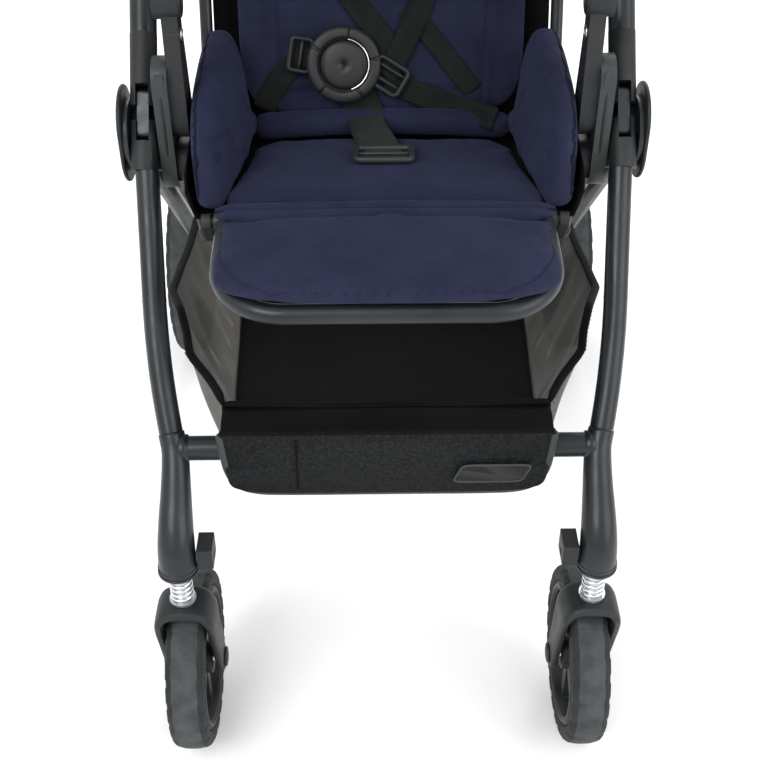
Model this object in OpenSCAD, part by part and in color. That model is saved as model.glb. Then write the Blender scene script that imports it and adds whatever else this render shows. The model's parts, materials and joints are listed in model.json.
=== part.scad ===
// Full-size pushchair: folding frame, sprung swivel front wheels, seat unit, hood and basket.
// +Z up, the child faces -Y. "left" is the -X side and "right" the +X side.
// Every sub-part is modelled from the front axle line and then moved by front_axle_y.

/* [Wheels] */
// Diameter of a front wheel
front_wheel_d = 188; // [180:1:192]
// Width of a front tyre
front_wheel_w = 38; // [32:1:40]
// Diameter of a rear wheel
rear_wheel_d = 266; // [240:1:280]
// Width of a rear tyre
rear_wheel_w = 40; // [34:1:42]
// Distance between the front and rear axles
wheelbase = 718; // [700:1:740]
// Distance of each front wheel from the middle
caster_x = 203; // [201:1:204]
// Distance of each rear wheel from the middle
rear_wheel_x = 282; // [281:1:290]
// How far each front axle trails behind its swivel axis
trail = 22; // [18:1:26]
// Number of spokes in a wheel
spoke_count = 6; // [5:1:8]

/* [Frame] */
// Slope of the front legs and of the handle from the floor
frame_slope = 52; // [51:0.5:53]
// Distance of each handle tube from the middle
tube_x = 231; // [230:0.5:231]
// Diameter of the front leg tubes
leg_d = 23; // [21:0.5:24]
// Diameter of the outer handle tubes
handle_d = 26; // [25:0.5:27]
// Diameter of the sliding handle bow
bow_d = 22; // [20:0.5:22]
// Length from the fold joint to the middle of the grip
handle_len = 540; // [530:1:560]
// Diameter of the grip
grip_d = 33; // [30:1:36]
// Travel of the handle height adjuster
handle_travel = 80; // [40:5:90]

/* [Seat] */
// Half width of the seat cushion at its front
cushion_half_w = 160; // [156:1:160]
// Depth of the seat cushion
cushion_depth = 194; // [180:1:194]
// Angle of the backrest behind the vertical
back_lean = 20; // [18:1:24]
// Length of the backrest
back_len = 440; // [420:5:440]
// Half width of the leg rest frame, to the middle of its tube
legrest_half_w = 148; // [144:1:148]
// Diameter of the leg rest tube
legrest_d = 18; // [16:0.5:19]

/* [Hood] */
// Outer radius of the hood
hood_r = 274; // [266:1:274]
// Half width of the hood
hood_half_w = 206; // [205:1:207]
// Thickness of the hood fabric and its stiffener
hood_t = 2.2; // [1.8:0.1:2.4]

/* [Basket] */
// Depth of the basket, front to back
basket_depth = 410; // [380:5:420]
// Half width of the basket floor
basket_floor_w = 172; // [160:1:174]
// Thickness of the basket walls
basket_t = 3; // [2.5:0.5:4]

/* [Hidden] */
$fn = 64;
HULL_FN = 32;
RUN_FIT = 0.05;
GAP = 0.5;
STRAP_IN = 0.05;
EPS = 0.01;

front_r = front_wheel_d / 2;
rear_r = rear_wheel_d / 2;
front_axle_y = -(wheelbase + rear_r - front_r) / 2;
rear_axle = [wheelbase, rear_r];

// Fold joint: the middle of the gap between leg and handle, as [y, z]
joint_at = [243, 603];
joint_gap = 14.4;
pin_inset = 11;
pin_d = 6;
link_w = 12;
link_r = 7;
sleeve_d = 26;
sleeve_len = 48;
collar_d = 27;
collar_len = 70;
handle_outer_len = 320;
bow_wall = 2;
bow_overlap = handle_travel + 70;
bow_bend = 62;
bow_bar_d = bow_d + 0.4;
grip_end = 74;
pin_s = joint_gap / 2 + pin_inset;

// Hub: the pivot of the rear legs, as [y, z], and its layers along X
hub_at = [250, 580];
hub_boss_r = 37;
hub_pin_d = 12;
hub_in_x = 216.5;
knuckle_x = [245, 249.5];
cover_x = [249.9, 254];
rear_leg_d = 21;
rear_leg_x = 247;
rear_leg_start = 66;
cover_r = 36;
cover_rise = 12;

// Front leg: a straight stretch, then a bend inwards; lengths run down from the fold joint
leg_toe_in = 2.6;
leg_straight_end = 180;
leg_seam = 308;
leg_bend_r = 900;
leg_bend = (leg_seam - leg_straight_end) / leg_bend_r * 180 / PI;
leg_wall = 2;
leg_seam_h = 3;

// Caster: heights along the swivel axis
caster_y = -trail;
housing_r = 18;
housing_z = [250, 309];
stem_d = 14;
stem_top = 290;
stem_nut = [190.5, 196];
stem_nut_r = 9;
fork_z = [196.5, 210];
seat_z = [210.4, 213.4];
seat_r = 13;
spring_r = 10;
spring_wire = 3;
spring_turns = 6;
spring_sides = 8;
spring_steps = 20;
suspension_travel = 10;
fork_t = 9;
fork_gap = 2.5;
front_axle_d = 10;
rear_axle_d = 12;
hub_in_d = 34;
front_tyre_t = 19;
rear_tyre_t = 25;

// Crossbar between the front legs
crossbar_at = [45, 349];
crossbar_d = 24;

// Seat unit
seat_front = [152, 560];
seat_tilt = 7;
cushion_t = 26;
cushion_taper = 26;
seat_base_w = 126;
recline_at = [355, 540];
recline_pin_d = 10;
back_tube_d = 13;
back_half_w = 183;
back_corner_r = 70;
back_pad_t = 28;
back_pad_w = 146;
side_plate_x = [190.5, 202];
adapter_x = [202, hub_in_x];
arm_x = [187, 202];
arm_top = [241, 716];
arm_boss_r = 17;
legrest_at = [139, 545];
legrest_drop = 7;
legrest_len = 130;
legrest_corner_r = 60;
legrest_pin_d = 8;
legrest_eye_d = 19.2;
legrest_bow = 7;
legrest_bracket_x = [161.5, 170];
legrest_pad_t = 15;
wing_r = 12;

// Hood
hood_up = 215;
hood_gap = 1.2;
hood_pin_d = 8;
hood_eye_r = 16;
hood_power = 4;
hood_points = 14;
hood_rear_at = [82, 128];
hood_front_at = [118, 170];

// Basket
basket_front_y = 58.5;
basket_floor_z = 296;
basket_top_z = 386;
panel_t = 8;
panel_y = 20;
panel_z = [311, 386];
panel_half_w = 158;
panel_corner_r = 32;

// Brake
brake_x = [-38, 38];
brake_len = 62;

// Harness
buckle_at = [-40, 60];
buckle_r = 39;
buckle_t = 12;
button_r = 21;
button_t = 3;
strap_w = 25;
strap_t = 2;

frame_black = [0.10, 0.12, 0.14];
plastic = [0.17, 0.18, 0.19];
rubber = [0.13, 0.14, 0.15];
navy = [0.18, 0.19, 0.30];
mesh_grey = [0.12, 0.12, 0.12];
steel = [0.75, 0.76, 0.78];

// ---------- helpers ----------

// Moves a sub-part from the front axle line into the object's own frame
module placed() translate([0, front_axle_y, 0]) children();

// The sub-part as drawn and its mirror image
module both() {
    children();
    mirror([1, 0, 0]) children();
}

// The right side as drawn, or its mirror image on the left
module side(name) {
    placed()
        if (name == "left") mirror([1, 0, 0]) children();
        else children();
}

// Extrudes an outline drawn in (y, z) from x0 to x1
module plate_x(x) translate([x[0], 0, 0]) rotate([90, 0, 90]) linear_extrude(x[1] - x[0]) union() children();

// Cylinder along X between x[0] and x[1], at p = [y, z]
module rod_x(x, p, d) translate([x[0], p[0], p[1]]) rotate([0, 90, 0]) cylinder(h = x[1] - x[0], d = d);

// Revolves (radius, x) about the X axis from angle b[0] to b[1], counted from +Y towards +Z
module revolve_x(b) rotate([0, 90, 0]) rotate([0, 0, b[0] + 90]) rotate_extrude(angle = b[1] - b[0]) children();

// Round bar between two points
module rod(p, q, d) {
    v = q - p;
    translate(p) rotate([0, acos(v[2] / norm(v)), atan2(v[1], v[0])]) cylinder(h = norm(v), d = d);
}

// Outline around two circles, with straight sides just inside the tangents between them
module strap_2d(p, q, rp, rq) {
    v = q - p;
    a = atan2(v[1], v[0]);
    t = acos((rp - rq) / norm(v));
    sp = rp - STRAP_IN;
    sq = rq - STRAP_IN;
    union() {
        polygon([
            p + sp * [cos(a + t), sin(a + t)], q + sq * [cos(a + t), sin(a + t)],
            q + sq * [cos(a - t), sin(a - t)], p + sp * [cos(a - t), sin(a - t)],
        ]);
        translate(p) circle(r = rp);
        translate(q) circle(r = rq);
    }
}

// Frame along the leg and handle line: local +Z runs up the line from the fold joint at tube_x
module on_line() translate([tube_x, joint_at[0], joint_at[1]]) rotate([frame_slope - 90, 0, 0]) children();

// A point [y, z] on the leg and handle line, s below the fold joint
function line_at(s) = joint_at - s * [cos(frame_slope), sin(frame_slope)];

// ---------- front legs and feet ----------

// Frame at the start of the leg's bend, with local -Z running down the leg
module leg_frame() on_line() rotate([0, leg_toe_in, 0]) children();

// Tube bored from the top, with a solid bend below it that curves inwards
module front_leg() {
    top = joint_gap / 2 + sleeve_len;
    leg_frame()
        difference() {
            union() {
                translate([0, 0, -leg_straight_end]) cylinder(h = leg_straight_end - top, d = leg_d);
                translate([-leg_bend_r, 0, -leg_straight_end])
                    rotate([90, 0, 0])
                        rotate([0, 0, -leg_bend])
                            rotate_extrude(angle = leg_bend, $fn = 256)
                                translate([leg_bend_r, 0]) circle(d = leg_d, $fn = 48);
                translate([0, 0, -leg_straight_end - leg_seam_h / 2]) cylinder(h = leg_seam_h, d = leg_d + 0.3);
            }
            translate([0, 0, leg_seam_h - leg_straight_end])
                cylinder(h = leg_straight_end, d = leg_d - 2 * leg_wall);
        }
}

// A thin disc on the leg's arc, at angle a below the start of the bend
module leg_disc(a, d) {
    leg_frame()
        translate([-leg_bend_r, 0, -leg_straight_end])
            rotate([0, a, 0])
                translate([leg_bend_r, 0, 0])
                    translate([0, 0, -1]) cylinder(h = 1, d = d, $fn = HULL_FN);
}

module leg_foot() {
    low = housing_z[0];
    high = housing_z[1];
    difference() {
        union() {
            hull() {
                leg_disc(leg_bend, leg_d + 2);
                leg_disc(leg_bend + 2.6, leg_d + 7);
            }
            hull() {
                leg_disc(leg_bend + 2.6, leg_d + 7);
                translate([caster_x, caster_y + 2, high - 22]) cylinder(h = 22, r = housing_r, $fn = HULL_FN);
            }
            translate([caster_x, caster_y, low]) cylinder(h = high - low, r = housing_r);
            translate([caster_x, caster_y, low]) cylinder(h = 6, r = housing_r + 1.5);
        }
        translate([caster_x, caster_y, low - 1])
            cylinder(h = stem_top + suspension_travel + 5 - low, d = stem_d + 2 * RUN_FIT);
        rod_x([0, caster_x + 2], crossbar_at, crossbar_d);
    }
}

module front_crossbar() {
    reach = caster_x + 2;
    placed()
        difference() {
            rod_x([-reach, reach], crossbar_at, crossbar_d);
            rod_x([-reach - 1, reach + 1], crossbar_at, crossbar_d - 4);
        }
}

// ---------- sprung swivel casters ----------

module stem() {
    translate([caster_x, caster_y, 0]) {
        translate([0, 0, stem_nut[1]]) cylinder(h = stem_top - stem_nut[1], d = stem_d);
        translate([0, 0, stem_nut[0]]) cylinder(h = stem_nut[1] - stem_nut[0], r = stem_nut_r);
        translate([0, 0, seat_z[0]]) cylinder(h = seat_z[1] - seat_z[0], r = seat_r);
    }
}

// Coil spring: rings of points around the wire, one ring per step of the helix
module spring() {
    low = seat_z[1] + spring_wire / 2 + GAP;
    high = housing_z[0] - spring_wire / 2 - GAP;
    rings = spring_turns * spring_steps;
    points = [
        for (i = [0 : rings])
            let (a = 360 * i / spring_steps, z = low + (high - low) * i / rings)
                for (j = [0 : spring_sides - 1])
                    let (b = 360 * j / spring_sides, r = spring_r + spring_wire / 2 * cos(b))
                        [r * cos(a), r * sin(a), z + spring_wire / 2 * sin(b)]
    ];
    walls = [
        for (i = [0 : rings - 1])
            for (j = [0 : spring_sides - 1])
                let (k = (j + 1) % spring_sides, m = i * spring_sides)
                    [m + j, m + spring_sides + j, m + spring_sides + k, m + k]
    ];
    first = [for (j = [0 : spring_sides - 1]) j];
    last = [for (j = [spring_sides - 1 : -1 : 0]) rings * spring_sides + j];
    translate([caster_x, caster_y, 0]) polyhedron(points, concat([first, last], walls));
}

module fork_arm_2d() {
    strap_2d([caster_y, fork_z[1] - 22], [0, front_r], 22, 15);
}

module fork() {
    inner = front_wheel_w / 2 + fork_gap;
    outer = inner + fork_t;
    top = fork_z[1];
    difference() {
        union() {
            for (x = [-outer, inner])
                plate_x([caster_x + x, caster_x + x + fork_t]) fork_arm_2d();
            translate([caster_x - outer, caster_y - 21, fork_z[0]]) cube([2 * outer, 42, top - fork_z[0]]);
        }
        translate([caster_x - outer - 1, caster_y - 50, top]) cube([2 * outer + 2, 100, 30]);
        translate([caster_x, caster_y, fork_z[0] - 20]) cylinder(h = 60, d = stem_d + 2 * RUN_FIT);
    }
    rod_x([caster_x - outer - 3, caster_x + outer + 3], [0, front_r], front_axle_d);
    for (x = [-outer - 3, outer]) rod_x([caster_x + x, caster_x + x + 3], [0, front_r], 22);
}

module swivel_lock() {
    x1 = caster_x - housing_r - 1.5 - GAP;
    translate([x1 - 15, caster_y - 6, housing_z[0] + 8])
        difference() {
            cube([15, 26, 24]);
            translate([-1, 13, 6]) rotate([0, 90, 0]) cylinder(h = 5, d = 8);
        }
}

// ---------- wheels ----------

// Tyre outline in (radius, x): a crowned tread on rounded shoulders
module tyre_2d(r, w, depth) {
    shoulder = w * 0.34;
    intersection() {
        translate([r - depth, -w / 2]) square([depth, w]);
        union() {
            translate([r - depth - 1, -w / 2 + shoulder]) square([depth - shoulder * 0.5, w - 2 * shoulder]);
            for (s = [-1, 1])
                translate([r - shoulder - 2, s * (w / 2 - shoulder)]) circle(r = shoulder, $fn = 48);
            translate([r - depth, -w / 2 + 2]) square([depth - shoulder - 2, w - 4]);
            translate([r - 8, -w / 2 + shoulder]) square([8, w - 2 * shoulder]);
        }
    }
}

module tyre(p, x, r, w, depth) {
    translate([x, p[0], p[1]]) revolve_x([0, 360]) tyre_2d(r, w, depth);
}

module rim(p, x, r, w, bore) {
    hub_w = w - 2;
    translate([x, p[0], p[1]])
        difference() {
            union() {
                revolve_x([0, 360]) translate([r - 8, -w / 2 + 2]) square([8, w - 4]);
                revolve_x([0, 360]) translate([0, -hub_w / 2]) square([hub_in_d / 2, hub_w]);
                for (i = [0 : spoke_count - 1])
                    rotate([i * 360 / spoke_count, 0, 0])
                        translate([-w * 0.28, -7, hub_in_d / 2 - 3])
                            cube([w * 0.56, 14, r - hub_in_d / 2 - 2]);
            }
            rotate([0, 90, 0]) cylinder(h = w + 10, d = bore, center = true);
        }
}

module front_tyre() tyre([0, front_r], caster_x, front_r, front_wheel_w, front_tyre_t);
module front_rim() rim([0, front_r], caster_x, front_r - front_tyre_t, front_wheel_w, front_axle_d + 2 * RUN_FIT);
module rear_tyre() tyre(rear_axle, rear_wheel_x, rear_r, rear_wheel_w, rear_tyre_t);
module rear_rim() rim(rear_axle, rear_wheel_x, rear_r - rear_tyre_t, rear_wheel_w, rear_axle_d + 2 * RUN_FIT);

// ---------- hub and rear frame ----------

// Sleeve round the leg's top, and behind it a round casing cut back so the handle swings clear
module hub_housing() {
    clear_of_handle = collar_d / 2 + 0.75;
    on_line()
        difference() {
            translate([0, 0, -joint_gap / 2 - sleeve_len]) cylinder(h = sleeve_len, d = sleeve_d);
            translate([-link_w / 2 - 0.2, -link_r - 0.4 - sleeve_d, -pin_s - link_r - 2])
                cube([link_w + 0.4, 2 * link_r + 0.8 + sleeve_d, 100]);
            translate([-50, 0, -pin_s]) rotate([0, 90, 0]) cylinder(h = 100, d = pin_d);
            rotate([0, leg_toe_in, 0])
                translate([0, 0, -150]) cylinder(h = 150 - joint_gap / 2 - sleeve_len, d = leg_d + 1.5);
        }
    difference() {
        union() {
            difference() {
                rod_x([hub_in_x, knuckle_x[0] - 0.2], hub_at, 2 * hub_boss_r);
                on_line() translate([-50, clear_of_handle - 100, -150]) cube([100, 100, 300]);
            }
            plate_x([tube_x - 9, tube_x + 9])
                strap_2d(hub_at, line_at(joint_gap / 2 + sleeve_len - 14), 16, 10);
        }
        on_line() translate([0, 0, -joint_gap / 2 - sleeve_len]) cylinder(h = 200, d = sleeve_d - 1);
        leg_frame() translate([0, 0, -150]) cylinder(h = 150 - joint_gap / 2 - sleeve_len, d = leg_d + 1.5);
        rod_x([0, 300], hub_at, hub_pin_d);
    }
}

module hub_cover() {
    difference() {
        union() {
            plate_x(cover_x) strap_2d(hub_at - [0, cover_rise], hub_at + [0, cover_rise], cover_r, cover_r);
            rod_x(cover_x, hub_at, 30);
        }
        rod_x([0, 300], hub_at, hub_pin_d);
    }
}

// Hub pins, and the lower pins of the fold links
module frame_pins() {
    placed()
        both() {
            rod_x([hub_in_x, cover_x[1] + 1.5], hub_at, hub_pin_d);
            rod_x([tube_x - sleeve_d / 2 + 1, tube_x + sleeve_d / 2 - 1], line_at(pin_s), pin_d);
        }
}

module rear_leg() {
    v = (rear_axle - hub_at) / norm(rear_axle - hub_at);
    a = hub_at + rear_leg_start * v;
    b = rear_axle - 26 * v;
    bracket = [rear_leg_x - 10, rear_leg_x + 11];
    difference() {
        union() {
            plate_x(knuckle_x) strap_2d(hub_at, a + 20 * v, 34, 9);
            rod([rear_leg_x, a[0], a[1]], [rear_leg_x, b[0], b[1]], rear_leg_d);
            plate_x(bracket) strap_2d(b - 16 * v, rear_axle, 13, 19);
        }
        rod_x([0, 300], hub_at, hub_pin_d + 2 * RUN_FIT);
        rod_x([0, 300], rear_axle, 20);
    }
}

module rear_axle_bar() {
    placed() {
        reach = rear_leg_x + 11;
        tip = rear_wheel_x + rear_wheel_w / 2 + 2;
        rod_x([-reach, reach], rear_axle, 20);
        rod_x([-tip, tip], rear_axle, rear_axle_d);
        both() rod_x([tip - EPS, tip + 3], rear_axle, 24);
    }
}

module brake_pedal() {
    placed()
        difference() {
            union() {
                rod_x(brake_x, rear_axle, 30);
                plate_x(brake_x) strap_2d(rear_axle, rear_axle + [brake_len, -8], 9, 5);
                translate([brake_x[0] - 12, rear_axle[0] + brake_len - 20, rear_axle[1] - 14])
                    cube([brake_x[1] - brake_x[0] + 24, 24, 9]);
            }
            rod_x([-300, 300], rear_axle, 20 + 2 * RUN_FIT);
        }
}

// ---------- fold links and handle ----------

module fold_link() {
    on_line()
        difference() {
            union() {
                translate([-link_w / 2, -link_r, -pin_s]) cube([link_w, 2 * link_r, 2 * pin_s]);
                for (z = [-pin_s, pin_s])
                    translate([-link_w / 2, 0, z]) rotate([0, 90, 0]) cylinder(h = link_w, r = link_r);
            }
            for (z = [-pin_s, pin_s])
                translate([-50, 0, z]) rotate([0, 90, 0]) cylinder(h = 100, d = pin_d + 2 * RUN_FIT);
        }
}

module handle_collar() {
    on_line() {
        difference() {
            union() {
                translate([0, 0, joint_gap / 2]) cylinder(h = collar_len, d = handle_d + 0.4);
                translate([0, 0, joint_gap / 2]) cylinder(h = 5, d = collar_d);
            }
            translate([-link_w / 2 - 0.2, -link_r - 0.4 - collar_d, -100])
                cube([link_w + 0.4, 2 * link_r + 0.8 + collar_d, 100 + pin_s + link_r + 2]);
        }
        translate([0, 0, pin_s]) rotate([0, 90, 0]) cylinder(h = collar_d - 4, d = pin_d, center = true);
    }
}

module handle_tube() {
    on_line()
        translate([0, 0, joint_gap / 2 + collar_len])
            difference() {
                cylinder(h = handle_outer_len - collar_len, d = handle_d);
                translate([0, 0, 4]) cylinder(h = handle_outer_len, d = bow_d + 2 * RUN_FIT);
            }
}

module handle_bow() {
    start = handle_outer_len - bow_overlap;
    straight = handle_len - bow_bend - start;
    half = tube_x - bow_bend + 3;
    placed() {
        both()
            on_line() {
                difference() {
                    translate([0, 0, start]) cylinder(h = straight, d = bow_d);
                    translate([0, 0, start - 1]) cylinder(h = straight - 2, d = bow_d - 2 * bow_wall);
                }
                translate([-bow_bend, 0, handle_len - bow_bend])
                    rotate([90, 0, 0])
                        rotate_extrude(angle = 90) translate([bow_bend, 0]) circle(d = bow_d, $fn = 48);
            }
        rod_x([-half, half], line_at(-handle_len), bow_bar_d);
    }
}

module handle_grip() {
    half = tube_x - grip_end;
    at = line_at(-handle_len);
    placed()
        difference() {
            rod_x([-half, half], at, grip_d);
            rod_x([-half - 1, half + 1], at, bow_bar_d);
            translate([-25, at[0], at[1]])
                rotate([frame_slope - 90, 0, 0])
                    translate([0, -16, -30]) cube([50, 32, 22]);
        }
}

module handle_button() {
    at = line_at(-handle_len);
    placed()
        translate([0, at[0], at[1]])
            rotate([frame_slope - 90, 0, 0])
                difference() {
                    translate([-22, -8, -bow_d / 2 - 8]) cube([44, 16, 8]);
                    rotate([0, 90, 0]) cylinder(h = 100, d = bow_d + 6.4, center = true);
                }
}

// ---------- seat unit ----------

module seat_adapter() {
    difference() {
        union() {
            plate_x(adapter_x) strap_2d([248, 552], [240, 640], 27, 22);
            rod_x(adapter_x, hub_at, 40);
        }
        rod_x([0, 300], hub_at, hub_pin_d + 8);
    }
}

module seat_arm() {
    difference() {
        union() {
            plate_x(arm_x) {
                strap_2d([246, 600], [240, 684], 20, 13);
                strap_2d([240, 684], arm_top, 12, 13);
            }
            rod_x([185, 209], arm_top, 2 * arm_boss_r);
        }
        rod_x([arm_x[0] - 3, arm_x[0] + 3], [240, 684], 10);
    }
    rod_x([arm_x[0] - 1, arm_x[0] + 3], [240, 684], 9);
}

function seat_point(back, up) = seat_front
    + back * [cos(seat_tilt), -sin(seat_tilt)]
    + up * [sin(seat_tilt), cos(seat_tilt)];

module seat_frame() {
    base = seat_point(6, -cushion_t - 8);
    high = [194, 243, 541];
    low = [168, legrest_at[0] + 19, legrest_at[1] - 23];
    placed() {
        both() {
            plate_x(side_plate_x) strap_2d([246, 552], recline_at, 20, 15);
            rod_x([174, side_plate_x[1] - 1], recline_at, recline_pin_d);
            rod(high, low, 14);
            translate(low) sphere(d = 17);
            plate_x(legrest_bracket_x) strap_2d([low[1], low[2]], legrest_at, 8, 7);
            rod_x([legrest_half_w - 11, legrest_bracket_x[1] - 2], legrest_at, legrest_pin_d);
            rod_x([seat_base_w - 8, low[0] - 3], [low[1], low[2]], 10);
        }
        translate([-seat_base_w, base[0] - 6, base[1]])
            rotate([-seat_tilt, 0, 0]) cube([2 * seat_base_w, cushion_depth - 24, 8]);
    }
}

// Cushion narrower at the back than at the front
module seat_cushion() {
    r = 11;
    placed()
        translate([0, seat_front[0], seat_front[1]])
            rotate([-seat_tilt, 0, 0])
                hull()
                    for (s = [-1, 1], y = [r, cushion_depth - r])
                        translate([s * (cushion_half_w - r - (y > r ? cushion_taper : 0)), y, 0]) {
                            translate([0, 0, -r]) sphere(r = r, $fn = HULL_FN);
                            translate([0, 0, -cushion_t + r]) sphere(r = r, $fn = HULL_FN);
                        }
}

module seat_wing() {
    corners = [[173, 176, 557], [173, 190, 592], [173, 238, 622], [172, 348, 634],
               [173, 326, 557], [152, 326, 557], [153, 346, 612]];
    hull()
        for (c = corners)
            translate(c) sphere(r = wing_r, $fn = HULL_FN);
}

// Leg rest: drawn flat, reaching forward from its hinge, then dropped by legrest_drop
module on_legrest() placed() translate([0, legrest_at[0], legrest_at[1]]) rotate([legrest_drop, 0, 0]) children();

module legrest_frame() {
    straight = legrest_len - legrest_corner_r;
    eye = [legrest_half_w - 10, legrest_half_w + 10];
    on_legrest()
        both()
            difference() {
                union() {
                    translate([legrest_half_w, 0, 0]) rotate([90, 0, 0]) cylinder(h = straight, d = legrest_d);
                    translate([legrest_half_w - legrest_corner_r, -straight, 0])
                        rotate([0, 0, -90])
                            rotate_extrude(angle = 90)
                                translate([legrest_corner_r, 0]) circle(d = legrest_d, $fn = 48);
                    translate([0, -legrest_len, 0])
                        rotate([0, 90, 0]) cylinder(h = legrest_half_w - legrest_corner_r, d = legrest_d);
                    rod_x(eye, [0, 0], legrest_eye_d);
                }
                rod_x([eye[0] - 1, eye[1] + 1], [0, 0], legrest_pin_d + 2 * RUN_FIT);
            }
}

module legrest_pad() {
    w = legrest_half_w + 10;
    r = 7;
    corner = 52;
    on_legrest()
        translate([0, 0, legrest_d / 2 + 0.3])
            hull() {
                for (p = [[-w + corner, 0], [0, legrest_bow], [w - corner, 0]])
                    translate([p[0], corner - legrest_len - 4 - p[1], 0]) {
                        cylinder(h = 2, r = corner - 4, $fn = 48);
                        translate([0, 0, legrest_pad_t - r]) cylinder(h = 1, r = corner, $fn = 48);
                        translate([0, 0, legrest_pad_t - 1]) cylinder(h = 1, r = corner - 5, $fn = 48);
                    }
                for (x = [-w + r, w - r])
                    translate([x, -16, r]) sphere(r = r, $fn = HULL_FN);
            }
}

// Backrest: drawn upright from its hinge, then leaned back
module on_back() placed() translate([0, recline_at[0], recline_at[1]]) rotate([-back_lean, 0, 0]) children();

module back_frame() {
    straight = back_len - 10 - back_corner_r;
    on_back()
        both() {
            translate([back_half_w, 0, 12]) cylinder(h = straight - 12, d = back_tube_d);
            difference() {
                rod_x([176, side_plate_x[0] - 0.7], [0, 0], 30);
                rod_x([0, 300], [0, 0], recline_pin_d + 2 * RUN_FIT);
            }
            translate([back_half_w - back_corner_r, 0, straight])
                rotate([90, 0, 0])
                    rotate_extrude(angle = 90) translate([back_corner_r, 0]) circle(d = back_tube_d, $fn = 48);
            translate([0, 0, straight + back_corner_r])
                rotate([0, 90, 0]) cylinder(h = back_half_w - back_corner_r, d = back_tube_d);
            rod_x([back_half_w, hood_half_w + 3], [0, hood_up], hood_pin_d);
        }
}

module back_pad() {
    r = 11;
    front = -8 + r;
    back = front + back_pad_t - 2 * r;
    on_back()
        hull() {
            for (x = [-back_pad_w + r, back_pad_w - r], y = [front, back], z = [8 + r, back_len * 0.7])
                translate([x, y, z]) sphere(r = r, $fn = HULL_FN);
            for (x = [-back_pad_w + 34, back_pad_w - 34], y = [front, back])
                translate([x, y, back_len - 20 - r]) sphere(r = r, $fn = HULL_FN);
        }
}

module recline_lever() {
    on_back()
        translate([-46, back_pad_t - 7, back_len - 72])
            difference() {
                cube([92, 16, 26]);
                translate([46, -1, -22]) rotate([-90, 0, 0]) cylinder(h = 18, d = 70);
            }
}

// ---------- hood ----------

// Shell outline in (radius, x), a superellipse of half width w and radius r
module hood_2d(w, r) {
    e = 2 / hood_power;
    steps = [for (i = [0 : hood_points]) 90 * i / hood_points];
    right = [for (a = steps) [pow(sin(a), e), pow(cos(a), e)]];
    left = [for (i = [hood_points - 1 : -1 : 0]) [right[i][0], -right[i][1]]];
    unit = concat(right, left);
    last = len(unit) - 1;
    polygon(concat(
        [for (p = unit) [r * p[0], w * p[1]]],
        [for (i = [last : -1 : 0]) [(r - hood_t) * unit[i][0], (w - hood_t) * unit[i][1]]]
    ));
}

// One section of the hood between two angles about its pivot, with a round eye at each side
module hood_section(angles, w, r) {
    on_back()
        translate([0, 0, hood_up])
            difference() {
                union() {
                    revolve_x(angles) hood_2d(w, r);
                    both() rod_x([w - hood_t, w], [0, 0], 2 * hood_eye_r);
                }
                rotate([0, 90, 0]) cylinder(h = 3 * w, d = hood_pin_d + 2 * RUN_FIT, center = true);
            }
}

module hood_front() hood_section(hood_front_at, hood_half_w, hood_r);
module hood_rear() hood_section(hood_rear_at, hood_half_w - hood_t - hood_gap, hood_r - hood_t - 2 * hood_gap);

// ---------- basket ----------

// Corners of the basket for its right side, pulled in by t; lift raises the rim
function basket_corners(t, lift) = [
    [panel_half_w - 4 - t, basket_front_y + 3 + t, basket_floor_z + t],
    [basket_floor_w - t, basket_front_y + basket_depth - 40 - t, basket_floor_z + t],
    [panel_half_w + 2 - t, basket_front_y + 3 + t, basket_top_z + lift],
    [basket_floor_w + 26 - t, basket_front_y + 95, basket_top_z + 54 + lift],
    [basket_floor_w + 54 - t, basket_front_y + basket_depth - 78, basket_top_z + 40 + lift],
    [basket_floor_w + 30 - t, basket_front_y + basket_depth - t, basket_top_z + 16 + lift],
];

module basket_hull(t, lift) {
    r = 3;
    hull()
        both()
            for (c = basket_corners(t, lift))
                translate(c) sphere(r = r, $fn = HULL_FN);
}

module basket_tub() {
    placed()
        difference() {
            basket_hull(0, 0);
            basket_hull(basket_t, 80);
        }
}

module basket_panel() {
    low = panel_z[0];
    high = panel_z[1];
    w = panel_half_w;
    c = panel_corner_r;
    placed() {
        translate([0, panel_y + panel_t, 0])
            rotate([90, 0, 0])
                linear_extrude(panel_t) {
                    polygon([[-w, high], [-w + 6, low + c], [-w + 6 + c, low],
                             [w - 6 - c, low], [w - 6, low + c], [w, high]]);
                    for (x = [-w + 6 + c, w - 6 - c]) translate([x, low + c]) circle(r = c);
                }
        translate([-w + 4, panel_y + panel_t - 1, high - 5])
            cube([2 * w - 8, basket_front_y - panel_y - panel_t + 0.5, 5]);
    }
}

// ---------- harness ----------

// Frame on the front face of the backrest pad: local -Y points at the child
module on_pad() on_back() translate([0, -8 - GAP, 0]) children();

module harness_straps() {
    on_pad()
        for (s = [-1, 1])
            translate([s * 62 - strap_w / 2, -strap_t, 118]) cube([strap_w, strap_t, 200]);
}

module crotch_strap() {
    start = seat_point(62, GAP);
    placed()
        translate([-strap_w, start[0], start[1]])
            rotate([-seat_tilt, 0, 0]) {
                cube([2 * strap_w * 0.8, 118, strap_t]);
                translate([-9, 64, 0]) cube([58, 36, 7]);
            }
}

module harness_buckle() {
    on_pad()
        translate([buckle_at[0], 0, buckle_at[1]])
            rotate([90, 0, 0])
                difference() {
                    cylinder(h = buckle_t, r = buckle_r);
                    translate([0, 0, buckle_t - button_t]) cylinder(h = button_t + 1, r = button_r + 0.4);
                }
}

module buckle_button() {
    on_pad()
        translate([buckle_at[0], -buckle_t + button_t - 1.6, buckle_at[1]])
            rotate([90, 0, 0]) cylinder(h = button_t, r = button_r);
}

// ---------- the object ----------

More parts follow.
